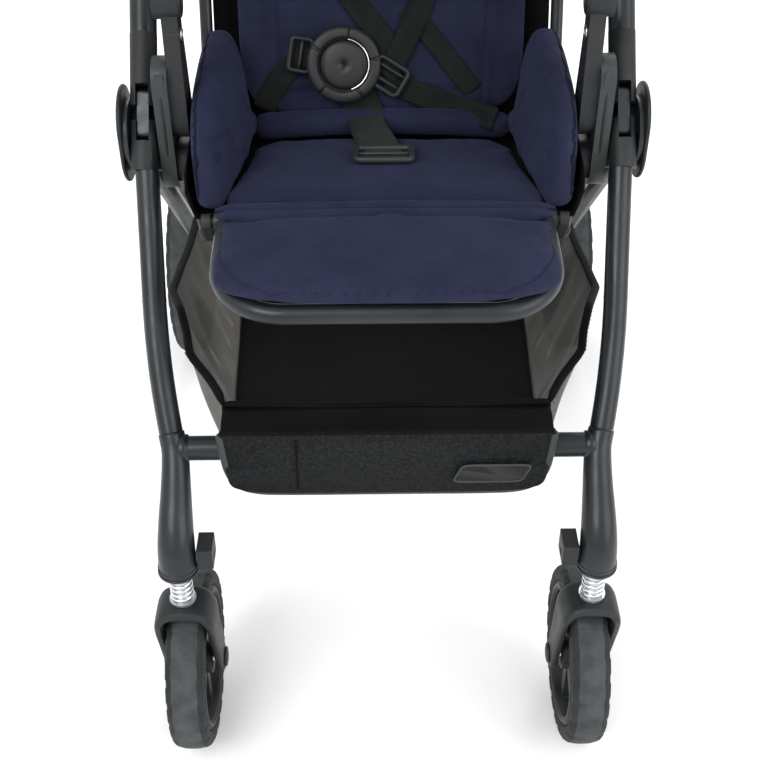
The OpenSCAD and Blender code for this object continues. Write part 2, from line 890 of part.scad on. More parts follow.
color(frame_black) side("left") front_leg();  // front_leg_left
color(frame_black) side("right") front_leg();  // front_leg_right
color(plastic) side("left") hub_housing();  // hub_housing_left
color(plastic) side("right") hub_housing();  // hub_housing_right
color(plastic) side("left") hub_cover();  // hub_cover_left
color(plastic) side("right") hub_cover();  // hub_cover_right
color(steel) frame_pins();
color(frame_black) side("left") leg_foot();  // leg_foot_left
color(frame_black) side("right") leg_foot();  // leg_foot_right
color(frame_black) front_crossbar();
color(steel) side("left") stem();  // stem_left
color(steel) side("right") stem();  // stem_right
color(steel) side("left") spring();  // spring_left
color(steel) side("right") spring();  // spring_right
color(plastic) side("left") fork();  // fork_left
color(plastic) side("right") fork();  // fork_right
color(plastic) side("left") swivel_lock();  // swivel_lock_left
color(plastic) side("right") swivel_lock();  // swivel_lock_right
color(rubber) side("left") front_tyre();  // front_tyre_left
color(rubber) side("right") front_tyre();  // front_tyre_right
color(plastic) side("left") front_rim();  // front_rim_left
color(plastic) side("right") front_rim();  // front_rim_right
color(frame_black) side("left") rear_leg();  // rear_leg_left
color(frame_black) side("right") rear_leg();  // rear_leg_right
color(frame_black) rear_axle_bar();
color(rubber) side("left") rear_tyre();  // rear_tyre_left
color(rubber) side("right") rear_tyre();  // rear_tyre_right
color(plastic) side("left") rear_rim();  // rear_rim_left
color(plastic) side("right") rear_rim();  // rear_rim_right
color(plastic) brake_pedal();
color(steel) side("left") fold_link();  // fold_link_left
color(steel) side("right") fold_link();  // fold_link_right
color(plastic) side("left") handle_collar();  // handle_collar_left
color(plastic) side("right") handle_collar();  // handle_collar_right
color(frame_black) side("left") handle_tube();  // handle_tube_left
color(frame_black) side("right") handle_tube();  // handle_tube_right
color(frame_black) handle_bow();
color(plastic) handle_grip();
color(plastic) handle_button();
color(plastic) side("left") seat_adapter();  // seat_adapter_left
color(plastic) side("right") seat_adapter();  // seat_adapter_right
color(plastic) side("left") seat_arm();  // seat_arm_left
color(plastic) side("right") seat_arm();  // seat_arm_right
color(plastic) seat_frame();
color(navy) seat_cushion();
color(navy) side("left") seat_wing();  // seat_wing_left
color(navy) side("right") seat_wing();  // seat_wing_right
color(frame_black) legrest_frame();
color(navy) legrest_pad();
color(frame_black) back_frame();
color(navy) back_pad();
color(plastic) recline_lever();
color(navy) hood_front();
color(navy) hood_rear();
color(mesh_grey) basket_tub();
color(mesh_grey) basket_panel();
color(plastic) harness_straps();
color(plastic) crotch_strap();
color(plastic) harness_buckle();
color(plastic) buckle_button();
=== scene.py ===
import json
import math

import bmesh
import bpy
from mathutils import Matrix, Vector, noise
from mathutils.bvhtree import BVHTree
from mathutils.kdtree import KDTree


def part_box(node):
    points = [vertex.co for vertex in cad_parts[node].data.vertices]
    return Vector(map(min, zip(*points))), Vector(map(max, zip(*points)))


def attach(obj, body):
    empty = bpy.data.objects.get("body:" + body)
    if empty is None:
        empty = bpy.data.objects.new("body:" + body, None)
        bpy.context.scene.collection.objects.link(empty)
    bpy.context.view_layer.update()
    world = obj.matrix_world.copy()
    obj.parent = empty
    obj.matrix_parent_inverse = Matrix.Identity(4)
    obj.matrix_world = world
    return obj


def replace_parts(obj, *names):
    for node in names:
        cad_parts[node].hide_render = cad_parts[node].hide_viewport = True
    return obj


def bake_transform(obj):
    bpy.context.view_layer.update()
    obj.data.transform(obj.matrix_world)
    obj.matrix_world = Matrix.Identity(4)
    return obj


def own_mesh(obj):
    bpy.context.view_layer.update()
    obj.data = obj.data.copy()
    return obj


# Looks for the pushchair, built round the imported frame. Lengths in mm count from the front axle line.

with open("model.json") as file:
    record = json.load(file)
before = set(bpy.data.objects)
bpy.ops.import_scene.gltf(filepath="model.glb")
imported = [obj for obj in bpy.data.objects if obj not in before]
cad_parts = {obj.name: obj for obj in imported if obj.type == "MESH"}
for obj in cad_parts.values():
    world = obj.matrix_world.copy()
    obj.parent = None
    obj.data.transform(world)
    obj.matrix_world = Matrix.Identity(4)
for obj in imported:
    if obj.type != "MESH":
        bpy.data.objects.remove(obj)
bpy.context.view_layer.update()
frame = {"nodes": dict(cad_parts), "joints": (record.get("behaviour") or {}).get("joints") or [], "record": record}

MM = 0.001
SIDES = {"left": -1, "right": 1}
JOINTS = {j["name"]: j for j in frame["joints"]}

low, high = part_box("front_rim_left")
AXLE_Y = (low.y + high.y) / 2


def at(x, y, z):
    """A point in mm from the front axle line, as the frame's metres."""
    return Vector((x * MM, y * MM + AXLE_Y, z * MM))


def pivot(joint):
    return Vector(JOINTS[joint]["pos_m"])


def tilted(origin, angle):
    return Matrix.Translation(origin) @ Matrix.Rotation(angle, 4, "X") @ Matrix.Scale(MM, 4)


def facing(matrix, axis):
    """A direction of a tilted frame, in the world."""
    return (matrix.to_3x3() @ Vector(axis)).normalized()


pull = JOINTS["recline_pull"]["axis"]
LEAN = math.atan2(pull[1], pull[2])
SEAT_TILT = math.radians(7)
BACK = tilted(pivot("back_recline"), -LEAN)
LEG_REST = tilted(pivot("leg_rest_drop"), SEAT_TILT)
SEAT = tilted(at(0, 152, 560), -SEAT_TILT)
ROW = tilted(at(0, 0, 0), 0)
METRES = Matrix.Identity(4)


# ---------- materials ----------

class Look:
    """A node material that is put together from small steps, and the slot its pieces are in."""

    def __init__(self, name, slot, color, rough, metal=0.0, sheen=0.0, coat=0.0, specular=0.35):
        self.slot = slot
        self.mat = bpy.data.materials.new(name)
        self.mat.use_nodes = True
        self.nodes = self.mat.node_tree.nodes
        self.links = self.mat.node_tree.links
        self.bsdf = self.nodes["Principled BSDF"]
        values = {"Base Color": (*color, 1), "Roughness": rough, "Metallic": metal, "Sheen Weight": sheen,
                  "Sheen Roughness": 0.45, "Coat Weight": coat, "Specular IOR Level": specular}
        for key, value in values.items():
            self.bsdf.inputs[key].default_value = value
        self.coords = self.nodes.new("ShaderNodeTexCoord")
        self.height = None

    def node(self, kind, **values):
        n = self.nodes.new(kind)
        for key, value in values.items():
            if hasattr(n, key):
                setattr(n, key, value)
            else:
                n.inputs[key].default_value = value
        return n

    def place(self, scale=1, uv=False):
        m = self.node("ShaderNodeMapping", Scale=(scale,) * 3)
        self.links.new(self.coords.outputs["UV" if uv else "Object"], m.inputs["Vector"])
        return m.outputs["Vector"]

    def texture(self, kind, output, where, **values):
        n = self.node("ShaderNodeTex" + kind, **values)
        self.links.new(where, n.inputs["Vector"])
        return n.outputs[output]

    def noise(self, scale, detail=3.0):
        return self.texture("Noise", "Fac", self.place(), Scale=scale, Detail=detail)

    def wave(self, scale, direction, uv=True):
        return self.texture("Wave", "Fac", self.place(uv=uv), Scale=scale, bands_direction=direction)

    def cells(self, scale, feature="F1"):
        return self.texture("Voronoi", "Distance", self.place(), Scale=scale, feature=feature)

    def drive(self, socket, value, low, high, start=0.3, end=0.7):
        """Moves a socket between two colours as value goes from start to end."""
        n = self.node("ShaderNodeValToRGB")
        for element, place, color in zip(n.color_ramp.elements, (start, end), (low, high)):
            element.position = place
            element.color = (*color, 1)
        self.links.new(value, n.inputs["Fac"])
        self.links.new(n.outputs["Color"], self.bsdf.inputs[socket])

    def color(self, value, dark, light, start=0.3, end=0.7):
        self.drive("Base Color", value, dark, light, start, end)

    def rough(self, value, low, high):
        self.drive("Roughness", value, (low,) * 3, (high,) * 3)

    def math(self, operation, a, b):
        n = self.node("ShaderNodeMath", operation=operation)
        for socket, value in zip(n.inputs, (a, b)):
            if isinstance(value, (int, float)):
                socket.default_value = value
            else:
                self.links.new(value, socket)
        return n.outputs["Value"]

    def bump(self, height, distance, strength=1.0):
        n = self.node("ShaderNodeBump", Strength=strength, Distance=distance)
        self.links.new(height, n.inputs["Height"])
        if self.height:
            self.links.new(self.height, n.inputs["Normal"])
        self.height = n.outputs["Normal"]
        self.links.new(self.height, self.bsdf.inputs["Normal"])

    def weave(self, scale, depth):
        """Crossing threads along two directions."""
        one, two, three = [self.wave(scale, axis, uv=False) for axis in "XYZ"]
        both = self.math("MULTIPLY", one, two)
        self.bump(self.math("ADD", both, self.math("MULTIPLY", three, one)), depth)


def plastic(name, dark, light, rough=0.5, grain=1400, slot="grey_plastic"):
    look = Look(name, slot, light, rough)
    look.color(look.noise(9), dark, light)
    look.rough(look.noise(30), rough - 0.06, rough + 0.1)
    look.bump(look.cells(grain), 0.00012, 0.5)
    return look


def navy(name, tint):
    dark = [c * tint for c in (0.0118, 0.0138, 0.034)]
    light = [c * tint for c in (0.0195, 0.0225, 0.054)]
    look = Look(name, "navy_fabric", light, 0.86, sheen=0.12, specular=0.15)
    look.bsdf.inputs["Sheen Tint"].default_value = (0.36, 0.4, 0.72, 1)
    look.color(look.noise(22, 6), dark, light, 0.25, 0.75)
    look.rough(look.noise(90), 0.72, 0.9)
    look.weave(1100, 0.00008)
    look.bump(look.noise(300, 4), 0.0003, 0.25)
    look.bump(look.noise(38, 3), 0.0012, 0.25)
    return look


def metal(name, color, rough):
    look = Look(name, "steel", color, rough, metal=1.0)
    look.rough(look.noise(120, 5), rough - 0.04, rough + 0.1)
    look.bump(look.noise(900, 2), 0.00003, 0.5)
    return look


FRAME = Look("satin_black_tube", "frame_paint", (0.012, 0.016, 0.019), 0.36, metal=0.1, coat=0.1)
FRAME.color(FRAME.noise(14, 5), (0.007, 0.0095, 0.0115), (0.015, 0.02, 0.024))
FRAME.rough(FRAME.noise(60, 5), 0.3, 0.44)
FRAME.bump(FRAME.noise(1600), 0.00005, 0.6)

PLASTIC = plastic("grey_plastic", (0.009, 0.0105, 0.0115), (0.016, 0.018, 0.0195))
PALE = plastic("pale_plastic", (0.02, 0.023, 0.024), (0.034, 0.038, 0.039), 0.45)
RIM = plastic("rim_plastic", (0.009, 0.0105, 0.0115), (0.018, 0.02, 0.0215), 0.48, 900, "rim_plastic")
BUCKLE = plastic("buckle_plastic", (0.013, 0.014, 0.0148), (0.02, 0.021, 0.0225), 0.42, 2200)
LABEL = plastic("blank_label", (0.002, 0.0025, 0.003), (0.0045, 0.005, 0.006), 0.3, 1200)
BLACK_THREAD = plastic("black_thread", (0.02, 0.02, 0.022), (0.045, 0.045, 0.048), 0.7, 3000, "webbing")
NAVY = navy("navy_fabric", 1.0)
SEAM = navy("navy_seam", 0.45)
THREAD = navy("navy_thread", 0.3)
STEEL = metal("plated_steel", (0.66, 0.68, 0.7), 0.3)
CHROME = metal("chrome", (0.82, 0.83, 0.85), 0.12)
DARK_METAL = metal("dark_link_metal", (0.05, 0.052, 0.056), 0.35)

WEBBING = Look("black_webbing", "webbing", (0.007, 0.0085, 0.0085), 0.66, sheen=0.06, specular=0.2)
WEBBING.color(WEBBING.noise(40), (0.0045, 0.006, 0.006), (0.01, 0.012, 0.012))
WEBBING.bump(WEBBING.wave(260, "Y"), 0.00035)
WEBBING.bump(WEBBING.wave(90, "X"), 0.0003, 0.7)

# See-through mesh: threads round rows of small round holes.
MESH = Look("basket_mesh", "basket_mesh", (0.1, 0.098, 0.09), 0.6, sheen=0.1)
dots = MESH.texture("Voronoi", "Distance", MESH.place(620, uv=True), Scale=1.0, Randomness=0.0)
hole = MESH.math("LESS_THAN", dots, 0.36)
MESH.links.new(MESH.math("SUBTRACT", 1.0, MESH.math("MULTIPLY", hole, 0.45)), MESH.bsdf.inputs["Alpha"])
MESH.color(MESH.noise(9, 4), (0.05, 0.049, 0.046), (0.16, 0.155, 0.14))
MESH.bump(MESH.noise(26, 4), 0.003, 0.3)

LINER = Look("basket_liner", "basket_mesh", (0.003, 0.003, 0.0033), 0.7, specular=0.12)
LINER.color(LINER.noise(12, 5), (0.0012, 0.0012, 0.0014), (0.0035, 0.0035, 0.0038))
LINER.weave(420, 0.0002)
LINER.bump(LINER.noise(14, 5), 0.006, 0.4)

PANEL = Look("panel_weave", "basket_panel", (0.008, 0.009, 0.0105), 0.66, specular=0.2)
dots = PANEL.cells(330)
PANEL.color(dots, (0.013, 0.0145, 0.0165), (0.003, 0.0035, 0.004), 0.2, 0.65)
PANEL.weave(190, 0.0005)
PANEL.bump(dots, 0.0005, 0.7)

TYRE = Look("tyre_rubber", "tyre", (0.013, 0.0145, 0.016), 0.74)
TYRE.color(TYRE.noise(28, 6), (0.009, 0.0105, 0.012), (0.02, 0.0225, 0.024))
TYRE.bump(TYRE.noise(700, 3), 0.00025, 0.6)
TYRE.bump(TYRE.noise(90, 4), 0.0004, 0.4)

TREAD = Look("worn_tread", "tyre", (0.11, 0.115, 0.115), 0.86)
TREAD.color(TREAD.noise(60, 6), (0.032, 0.036, 0.038), (0.062, 0.068, 0.069))
TREAD.bump(TREAD.noise(420, 4), 0.0005, 0.8)

GRIP = Look("grained_grip", "grip", (0.012, 0.012, 0.013), 0.5)
GRIP.color(GRIP.noise(30, 4), (0.009, 0.009, 0.01), (0.02, 0.02, 0.021))
GRIP.bump(GRIP.cells(620, "DISTANCE_TO_EDGE"), 0.0004, 0.9)


# ---------- mesh helpers ----------

def piece(name, verts, faces, look, body=None, slot=None, matrix=ROW, smooth=True, uvs=None):
    """A mesh object in a look; it rides on body when there is one."""
    mesh = bpy.data.meshes.new(name)
    mesh.from_pydata([matrix @ Vector(v) for v in verts], [], faces)
    mesh.validate()
    if uvs:
        layer = mesh.uv_layers.new(name="UVMap")
        for loop in mesh.loops:
            layer.data[loop.index].uv = uvs[loop.vertex_index]
    mesh.polygons.foreach_set("use_smooth", [smooth] * len(mesh.polygons))
    mesh.materials.append(look.mat)
    made = bmesh.new()
    made.from_mesh(mesh)
    bmesh.ops.recalc_face_normals(made, faces=made.faces)
    made.to_mesh(mesh)
    made.free()
    obj = bpy.data.objects.new(name, mesh)
    bpy.context.scene.collection.objects.link(obj)
    if body:
        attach(obj, body)
    slot or look.slot
    return obj


def turns(count):
    """Angles spaced evenly round a circle."""
    return [2 * math.pi * k / count for k in range(count)]


def ring(centre, radius, count=48, level=False):
    """A closed circle in metres round centre, standing across X or lying level."""
    out = []
    for a in turns(count):
        c, s = radius * math.cos(a), radius * math.sin(a)
        out.append(centre + Vector((c, s, 0) if level else (0, c, s)))
    return out


def mirrored(half):
    """A whole line from its right half, which is listed from its end to the middle."""
    return [(-x, *rest) for x, *rest in half] + half[-2::-1]


def skin(rows, closed=False):
    """Vertices and faces of a bar through rows of points round it; an open bar gets flat ends."""
    n, m = len(rows), len(rows[0])
    faces = []
    for i in range(n if closed else n - 1):
        j = (i + 1) % n
        for k in range(m):
            q = (k + 1) % m
            faces.append((i * m + k, i * m + q, j * m + q, j * m + k))
    if not closed:
        faces.append(tuple(range(m)))
        faces.append(tuple(range(n * m - 1, (n - 1) * m - 1, -1)))
    return [p for row in rows for p in row], faces


def smooth_path(points, steps=10, closed=False):
    """Catmull-Rom curve through the points."""
    pts = [Vector(p) for p in points]
    n = len(pts)
    if closed:
        ends = [pts[-1]] + pts + pts[:2]
    else:
        ends = [2 * pts[0] - pts[1]] + pts + [2 * pts[-1] - pts[-2]]
    out = []
    for i in range(n if closed else n - 1):
        p0, p1, p2, p3 = ends[i:i + 4]
        for s in range(steps):
            t = s / steps
            out.append(0.5 * (2 * p1 + (p2 - p0) * t + (2 * p0 - 5 * p1 + 4 * p2 - p3) * t * t
                              + (3 * p1 - p0 - 3 * p2 + p3) * t ** 3))
    if not closed:
        out.append(pts[-1])
    return out


def tangents(path, closed=False):
    n = len(path)
    out = []
    for i in range(n):
        a = path[i - 1] if i or closed else path[0]
        b = path[(i + 1) % n] if i < n - 1 or closed else path[-1]
        out.append((b - a).normalized())
    return out


def tube(name, path, radius, look, body, slot=None, sides=10, closed=False):
    """Round bar along a path in metres. One radius gives narrowed ends; a list has one for each point."""
    radii = radius
    if not isinstance(radius, list):
        radii = [radius] * len(path)
        if not closed:
            radii[0] = radii[-1] = radius * 0.6
    rows = []
    side = None
    for p, d, r in zip(path, tangents(path, closed), radii):
        if side is None:
            side = d.orthogonal().normalized()
        side = (side - d * side.dot(d)).normalized()
        up = d.cross(side)
        rows.append([p + side * (r * math.cos(a)) + up * (r * math.sin(a)) for a in turns(sides)])
    return piece(name, *skin(rows, closed), look, body, slot, METRES)


def strap(name, path, normals, width, thick, body):
    """Flat webbing along a path in metres: path is its underside and normals point away from it."""
    across = [k / 8 for k in range(9)]
    section = [(s, 1.0) for s in across] + [(1 - s, 0.0) for s in across]
    rows, uvs = [], []
    run = 0.0
    for i, (p, n, d) in enumerate(zip(path, normals, tangents(path))):
        if i:
            run += (p - path[i - 1]).length
        side = d.cross(n).normalized()
        up = side.cross(d).normalized()
        row = []
        for s, h in section:
            edge = 0.35 if s in (0.0, 1.0) else 0.0
            row.append(p + side * (width * (s - 0.5)) + up * (thick * (h * (1 - edge) + (1 - h) * edge)))
            uvs.append((s * width, run))
        rows.append(row)
    return piece(name, *skin(rows), WEBBING, body, matrix=METRES, uvs=uvs)


def stitches(name, path, normals, look, body, slot=None, pitch=0.0034, radius=0.00042):
    """A row of short thread stitches, each a spindle that dips in at its ends."""
    verts, faces = [], []
    run, due = 0.0, 0.0
    half = pitch * 0.34
    for a, b, n in zip(path, path[1:], normals[1:]):
        step = b - a
        length = step.length
        while length > 0 and due <= run + length:
            p = a + step * ((due - run) / length)
            d = step.normalized()
            side = d.cross(n).normalized()
            base = len(verts)
            verts.append(p - d * half)
            for t in turns(4):
                verts.append(p + (side * math.cos(t) + n * math.sin(t)) * radius + n * radius * 0.6)
            verts.append(p + d * half)
            for k in range(4):
                m = (k + 1) % 4
                faces.append((base, base + 1 + m, base + 1 + k))
                faces.append((base + 5, base + 1 + k, base + 1 + m))
            due += pitch
        run += length
    return piece(name, verts, faces, look, body, slot, METRES)


def cube_points(cuts):
    """Vertices and faces of a cube from -1 to 1, each face cut into a grid."""
    made = bmesh.new()
    bmesh.ops.create_cube(made, size=2)
    bmesh.ops.subdivide_edges(made, edges=made.edges[:], cuts=cuts, use_grid_fill=True)
    made.verts.index_update()
    verts = [v.co.copy() for v in made.verts]
    faces = [tuple(v.index for v in f.verts) for f in made.faces]
    made.free()
    return verts, faces


def block(name, cuts, shape, look, body=None, slot=None, matrix=ROW, smooth=True):
    """A cube whose points are moved by shape(p)."""
    verts, faces = cube_points(cuts)
    return piece(name, [shape(p) for p in verts], faces, look, body, slot, matrix, smooth)


def rounded(x, y, power):
    """A point of a square from -1 to 1, pulled in towards a superellipse."""
    return Vector((x, y, 0)) / (abs(x) ** power + abs(y) ** power) ** (1 / power)


def surface_of(*objs):
    """One surface made of the objects."""
    verts, faces = [], []
    for obj in objs:
        base = len(verts)
        verts.extend(v.co.copy() for v in obj.data.vertices)
        faces.extend([base + i for i in p.vertices] for p in obj.data.polygons)
    return BVHTree.FromPolygons(verts, faces)


def laid_on(tree, points, lift=0.0):
    """The points moved to the nearest place on a surface, and the surface's normals there."""
    path, normals = [], []
    for p in points:
        where, normal, _, _ = tree.find_nearest(p)
        path.append(where + normal * lift)
        normals.append(normal)
    return path, normals


def cast_on(tree, points, direction, lift=0.0):
    """The points dropped along a direction onto a surface; points that miss it stay out."""
    path = []
    for p in points:
        where, normal, _, _ = tree.ray_cast(p - direction * 0.2, direction)
        if where is not None:
            path.append(where + normal * lift)
    return path


def evened(path, times):
    """The path with its small steps smoothed out; its ends stay."""
    for _ in range(times):
        inner = [(a + b * 2 + c) / 4 for a, b, c in zip(path, path[1:], path[2:])]
        path = [path[0]] + inner + [path[-1]]
    return path


def groove(obj, path, depth, width):
    """Presses a seam into the mesh along a path."""
    marks, _ = laid_on(surface_of(obj), path)
    near = KDTree(len(marks))
    for i, mark in enumerate(marks):
        near.insert(mark, i)
    near.balance()
    for v in obj.data.vertices:
        d = near.find(v.co)[2]
        if d < 2.6 * width:
            v.co -= v.normal * depth * math.exp(-(d / width) ** 2)
    obj.data.update()


def relax(obj, times):
    made = bmesh.new()
    made.from_mesh(obj.data)
    axes = {"use_axis_x": True, "use_axis_y": True, "use_axis_z": True}
    for _ in range(times):
        bmesh.ops.smooth_vert(made, verts=made.verts, factor=0.5, **axes)
    made.to_mesh(obj.data)
    made.free()


def applied(obj):
    """Takes the modifiers' result as the object's mesh."""
    graph = bpy.context.evaluated_depsgraph_get()
    mesh = bpy.data.meshes.new_from_object(obj.evaluated_get(graph))
    obj.modifiers.clear()
    obj.data = mesh


def inflate(obj, cap, held, pressure=4.0):
    """Padded fabric: remeshes the closed form, swells it as cloth and caps how far each point may go.
    held(point) is True where sewing or the base keeps the fabric in place."""
    remesh = obj.modifiers.new("remesh", "REMESH")
    remesh.mode = "VOXEL"
    remesh.voxel_size = 0.0055
    applied(obj)
    relax(obj, 2)
    rest = [v.co.copy() for v in obj.data.vertices]
    cloth_settings = obj.modifiers.new("cloth", "CLOTH").settings
    cloth_settings.quality = 4
    cloth_settings.mass = 0.25
    cloth_settings.use_pressure = True
    cloth_settings.uniform_pressure_force = pressure
    cloth_settings.effector_weights.gravity = 0
    cloth_settings.tension_stiffness = 12
    cloth_settings.bending_stiffness = 0.4
    group = obj.vertex_groups.new(name="held")
    group.add([i for i, p in enumerate(rest) if held(p)], 1.0, "ADD")
    cloth_settings.vertex_group_mass = "held"
    for f in range(1, 21):
        bpy.context.scene.frame_set(f)
    applied(obj)
    for v, p in zip(obj.data.vertices, rest):
        move = v.co - p
        if move.length > cap:
            v.co = p + move.normalized() * cap
    bpy.context.scene.frame_set(1)
    relax(obj, 1)
    obj.vertex_groups.clear()
    obj.modifiers.new("fine", "SUBSURF").levels = 1
    applied(obj)
    obj.data.polygons.foreach_set("use_smooth", [True] * len(obj.data.polygons))


def pad(name, cuts, shape, matrix, body, cap, replaced, held):
    """A cushion: a cube shaped by shape(p), then swollen. It rides on body once it is finished."""
    obj = block(name, cuts, shape, NAVY, matrix=matrix)
    inflate(obj, cap, held)
    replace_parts(obj, replaced)
    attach(obj, body)
    return obj


def seam(obj, name, points, body, depth, width, sewn=True, piped=0.0):
    """A sewn seam: a groove, and stitches beside it or a piping in it."""
    groove(obj, points, depth, width)
    tree = surface_of(obj)
    if piped:
        path, _ = laid_on(tree, points, piped * 0.2)
        tube(name + "_piping", path, piped, SEAM, body, sides=8)
    if sewn:
        path, normals = laid_on(tree, points, 0.0001)
        stitches(name + "_stitches", path, normals, THREAD, body)


def cloth(name, nu, nv, shape, thick, look, body=None, slot=None, uvs=None, matrix=ROW):
    """A sheet shape(u, v) in mm, made thick on both sides of it."""
    spots = [(i / nu, j / nv) for i in range(nu + 1) for j in range(nv + 1)]
    faces = []
    for i in range(nu):
        for j in range(nv):
            a, b = i * (nv + 1) + j, (i + 1) * (nv + 1) + j
            faces.append((a, b, b + 1, a + 1))
    if uvs:
        uvs = [uvs(u, v) for u, v in spots]
    obj = piece(name, [shape(u, v) for u, v in spots], faces, look, slot=slot, matrix=matrix, uvs=uvs)
    solid = obj.modifiers.new("thick", "SOLIDIFY")
    solid.thickness = thick * MM
    solid.offset = 0
    applied(obj)
    if body:
        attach(obj, body)
    return obj


def lathe(name, profile, matrix, look, body, span=(0, 360), steps=72):
    """Turns a closed (radius, height) outline about the matrix's Z axis, through a span of degrees."""
    full = span[1] - span[0] >= 360
    rows = []
    for i in range(steps if full else steps + 1):
        a = math.radians(span[0] + (span[1] - span[0]) * i / steps)
        rows.append([(r * math.cos(a), r * math.sin(a), h) for r, h in profile])
    return piece(name, *skin(rows, full), look, body, matrix=matrix)


# ---------- camera, floor and light ----------

def placed(obj):
    bpy.context.scene.collection.objects.link(obj)
    return obj


camera = placed(bpy.data.objects.new("camera", bpy.data.cameras.new("camera")))
camera.location = (-0.0163, -1.2115, 1.1146)
camera.rotation_euler = (math.radians(51.9), 0.0, math.radians(-0.85))
camera.data.lens = 56.5
camera.data.clip_start = 0.02
bpy.context.scene.camera = camera

world = bpy.data.worlds.new("studio")
bpy.context.scene.world = world
world.use_nodes = True
world.node_tree.nodes["Background"].inputs["Color"].default_value = (1, 1, 1, 1)
world.node_tree.nodes["Background"].inputs["Strength"].default_value = 1.0
bpy.context.scene.view_settings.view_transform = "Standard"

FLOOR = Look("pale_floor", None, (0.93, 0.93, 0.93), 0.9)
FLOOR.color(FLOOR.noise(1.5), (0.92, 0.92, 0.92), (0.95, 0.95, 0.95))
floor_mesh = bpy.data.meshes.new("floor")
floor_mesh.from_pydata([(-30, -30, 0), (30, -30, 0), (30, 30, 0), (-30, 30, 0)], [], [(0, 1, 2, 3)])
floor_mesh.materials.append(FLOOR.mat)
placed(bpy.data.objects.new("floor", floor_mesh))

LIGHTS = {"key": ((-1.6, -2.6, 3.0), (0, 0, 0.5), 2.0, 75), "fill": ((2.4, -1.8, 1.8), (0, 0, 0.5), 2.2, 40),
          "back": ((0.4, 2.8, 2.6), (0, 0, 0.6), 2.2, 55)}
for name, (place, target, size, power) in LIGHTS.items():
    data = bpy.data.lights.new(name, "AREA")
    data.size = size
    data.energy = power
    light = placed(bpy.data.objects.new(name, data))
    light.location = place
    light.rotation_euler = (Vector(target) - Vector(place)).to_track_quat("-Z", "Y").to_euler()


# ---------- CAD parts that stay ----------

MAIN_LOOKS = (FRAME, PLASTIC, STEEL, TYRE, RIM, GRIP, NAVY, MESH, PANEL, WEBBING)
SLOT_LOOKS = {look.slot: look for look in MAIN_LOOKS}
NODE_LOOKS = {"seat_adapter": PALE, "fold_link": DARK_METAL}
BEVELS = {"hub_cover": 1.8, "fork": 5.0, "brake_pedal": 2.0, "swivel_lock": 2.0, "seat_adapter": 1.6,
          "seat_arm": 2.0, "hub_housing": 1.0, "seat_frame": 1.6, "recline_lever": 2.2, "handle_button": 1.6,
          "rear_leg": 1.2, "handle_collar": 0.8, "fold_link": 0.6, "front_rim": 1.2, "rear_rim": 1.4,
          "rear_axle_bar": 1.0}
for row in frame["record"]["subparts"]:
    node = frame["nodes"][row["node"]]
    stem = row["node"].replace("_left", "").replace("_right", "")
    node.data.materials.clear()
    node.data.materials.append(NODE_LOOKS.get(stem, SLOT_LOOKS[row["material_slot"]]).mat)
    if stem in BEVELS:
        weld = node.modifiers.new("weld", "WELD")
        weld.merge_threshold = 0.00002
        bevel = node.modifiers.new("bevel", "BEVEL")
        bevel.width = BEVELS[stem] * MM
        bevel.segments = 3
        bevel.limit_method = "ANGLE"
        bevel.angle_limit = math.radians(38)
        bevel.harden_normals = True


# ---------- wheels ----------

# Half of a tyre's section: (depth below the tread, distance from the middle), both as shares.
TYRE_HALF = [(1, 0.72), (0.86, 0.93), (0.62, 1.0), (0.34, 0.965), (0.15, 0.8), (0.035, 0.5), (0, 0.2)]
BLOCK_STEPS = 14


def tyre_piece(name, node, body, blocks):
    """Tyre with raised sidewall blocks, and its worn tread as a band of its own."""
    lo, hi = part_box(node)
    outer = (hi.z - lo.z) / 2 / MM
    half = (hi.x - lo.x) / 2 / MM
    depth = outer * 0.2
    section = [(s, -x) for s, x in TYRE_HALF] + TYRE_HALF[::-1]
    line = smooth_path([(outer - depth * s, x * half, 0) for s, x in section], 4)
    rows = []
    for i, a in enumerate(turns(blocks * BLOCK_STEPS)):
        phase = (i / BLOCK_STEPS) % 1.0 - 0.5
        row = []
        for r, x, _ in line:
            side = abs(x) / half
            share = (outer - r) / depth
            in_block = abs(phase) < 0.36 - 0.5 * abs(share - 0.36) and 0.07 < share < 0.68
            lift = 0.9 if in_block and side > 0.6 else 0.0
            notch = 1.1 if abs(abs(phase) - 0.5) < 0.05 and 0.3 < side < 0.9 and share < 0.14 else 0.0
            r_out = r + lift * 0.3 - notch
            row.append((x + math.copysign(lift * 0.75, x), r_out * math.cos(a), r_out * math.sin(a)))
        rows.append(row)
    matrix = Matrix.Translation((lo + hi) / 2) @ Matrix.Scale(MM, 4)
    made = piece(name, *skin(rows, True), TYRE, body, matrix=matrix)
    made.data.materials.append(TREAD.mat)
    in_tread = [(outer - p.x) / depth < 0.09 for p in line]
    for face in made.data.polygons:
        k = face.index % len(line)
        if k < len(line) - 1 and in_tread[k] and in_tread[k + 1]:
            face.material_index = 1
    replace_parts(made, node)


def wheel_details(stem, side, body):
    """Bead rings and hub rings on both faces of a CAD rim."""
    lo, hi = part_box(f"{stem}_rim_{side}")
    centre = (lo + hi) / 2
    radius = (hi.z - lo.z) / 2 - 0.004
    for face, sign in (("inner", -1), ("outer", 1)):
        middle = Vector((centre.x + sign * ((hi.x - lo.x) / 2 - 0.0015), centre.y, centre.z))
        tube(f"{stem}_{side}_{face}_bead", ring(middle, radius, 72), 0.0028, RIM, body, closed=True)
        tube(f"{stem}_{side}_{face}_hub_ring", ring(middle, 0.0155, 40), 0.0017, RIM, body, closed=True)


for side in SIDES:
    for stem, blocks in (("front", 22), ("rear", 26)):
        tyre_piece(f"{stem}_tyre_skin_{side}", f"{stem}_tyre_{side}", f"{stem}_wheel_{side}", blocks)
    for stem in ("front", "rear"):
        wheel_details(stem, side, f"{stem}_wheel_{side}")


# ---------- springs ----------

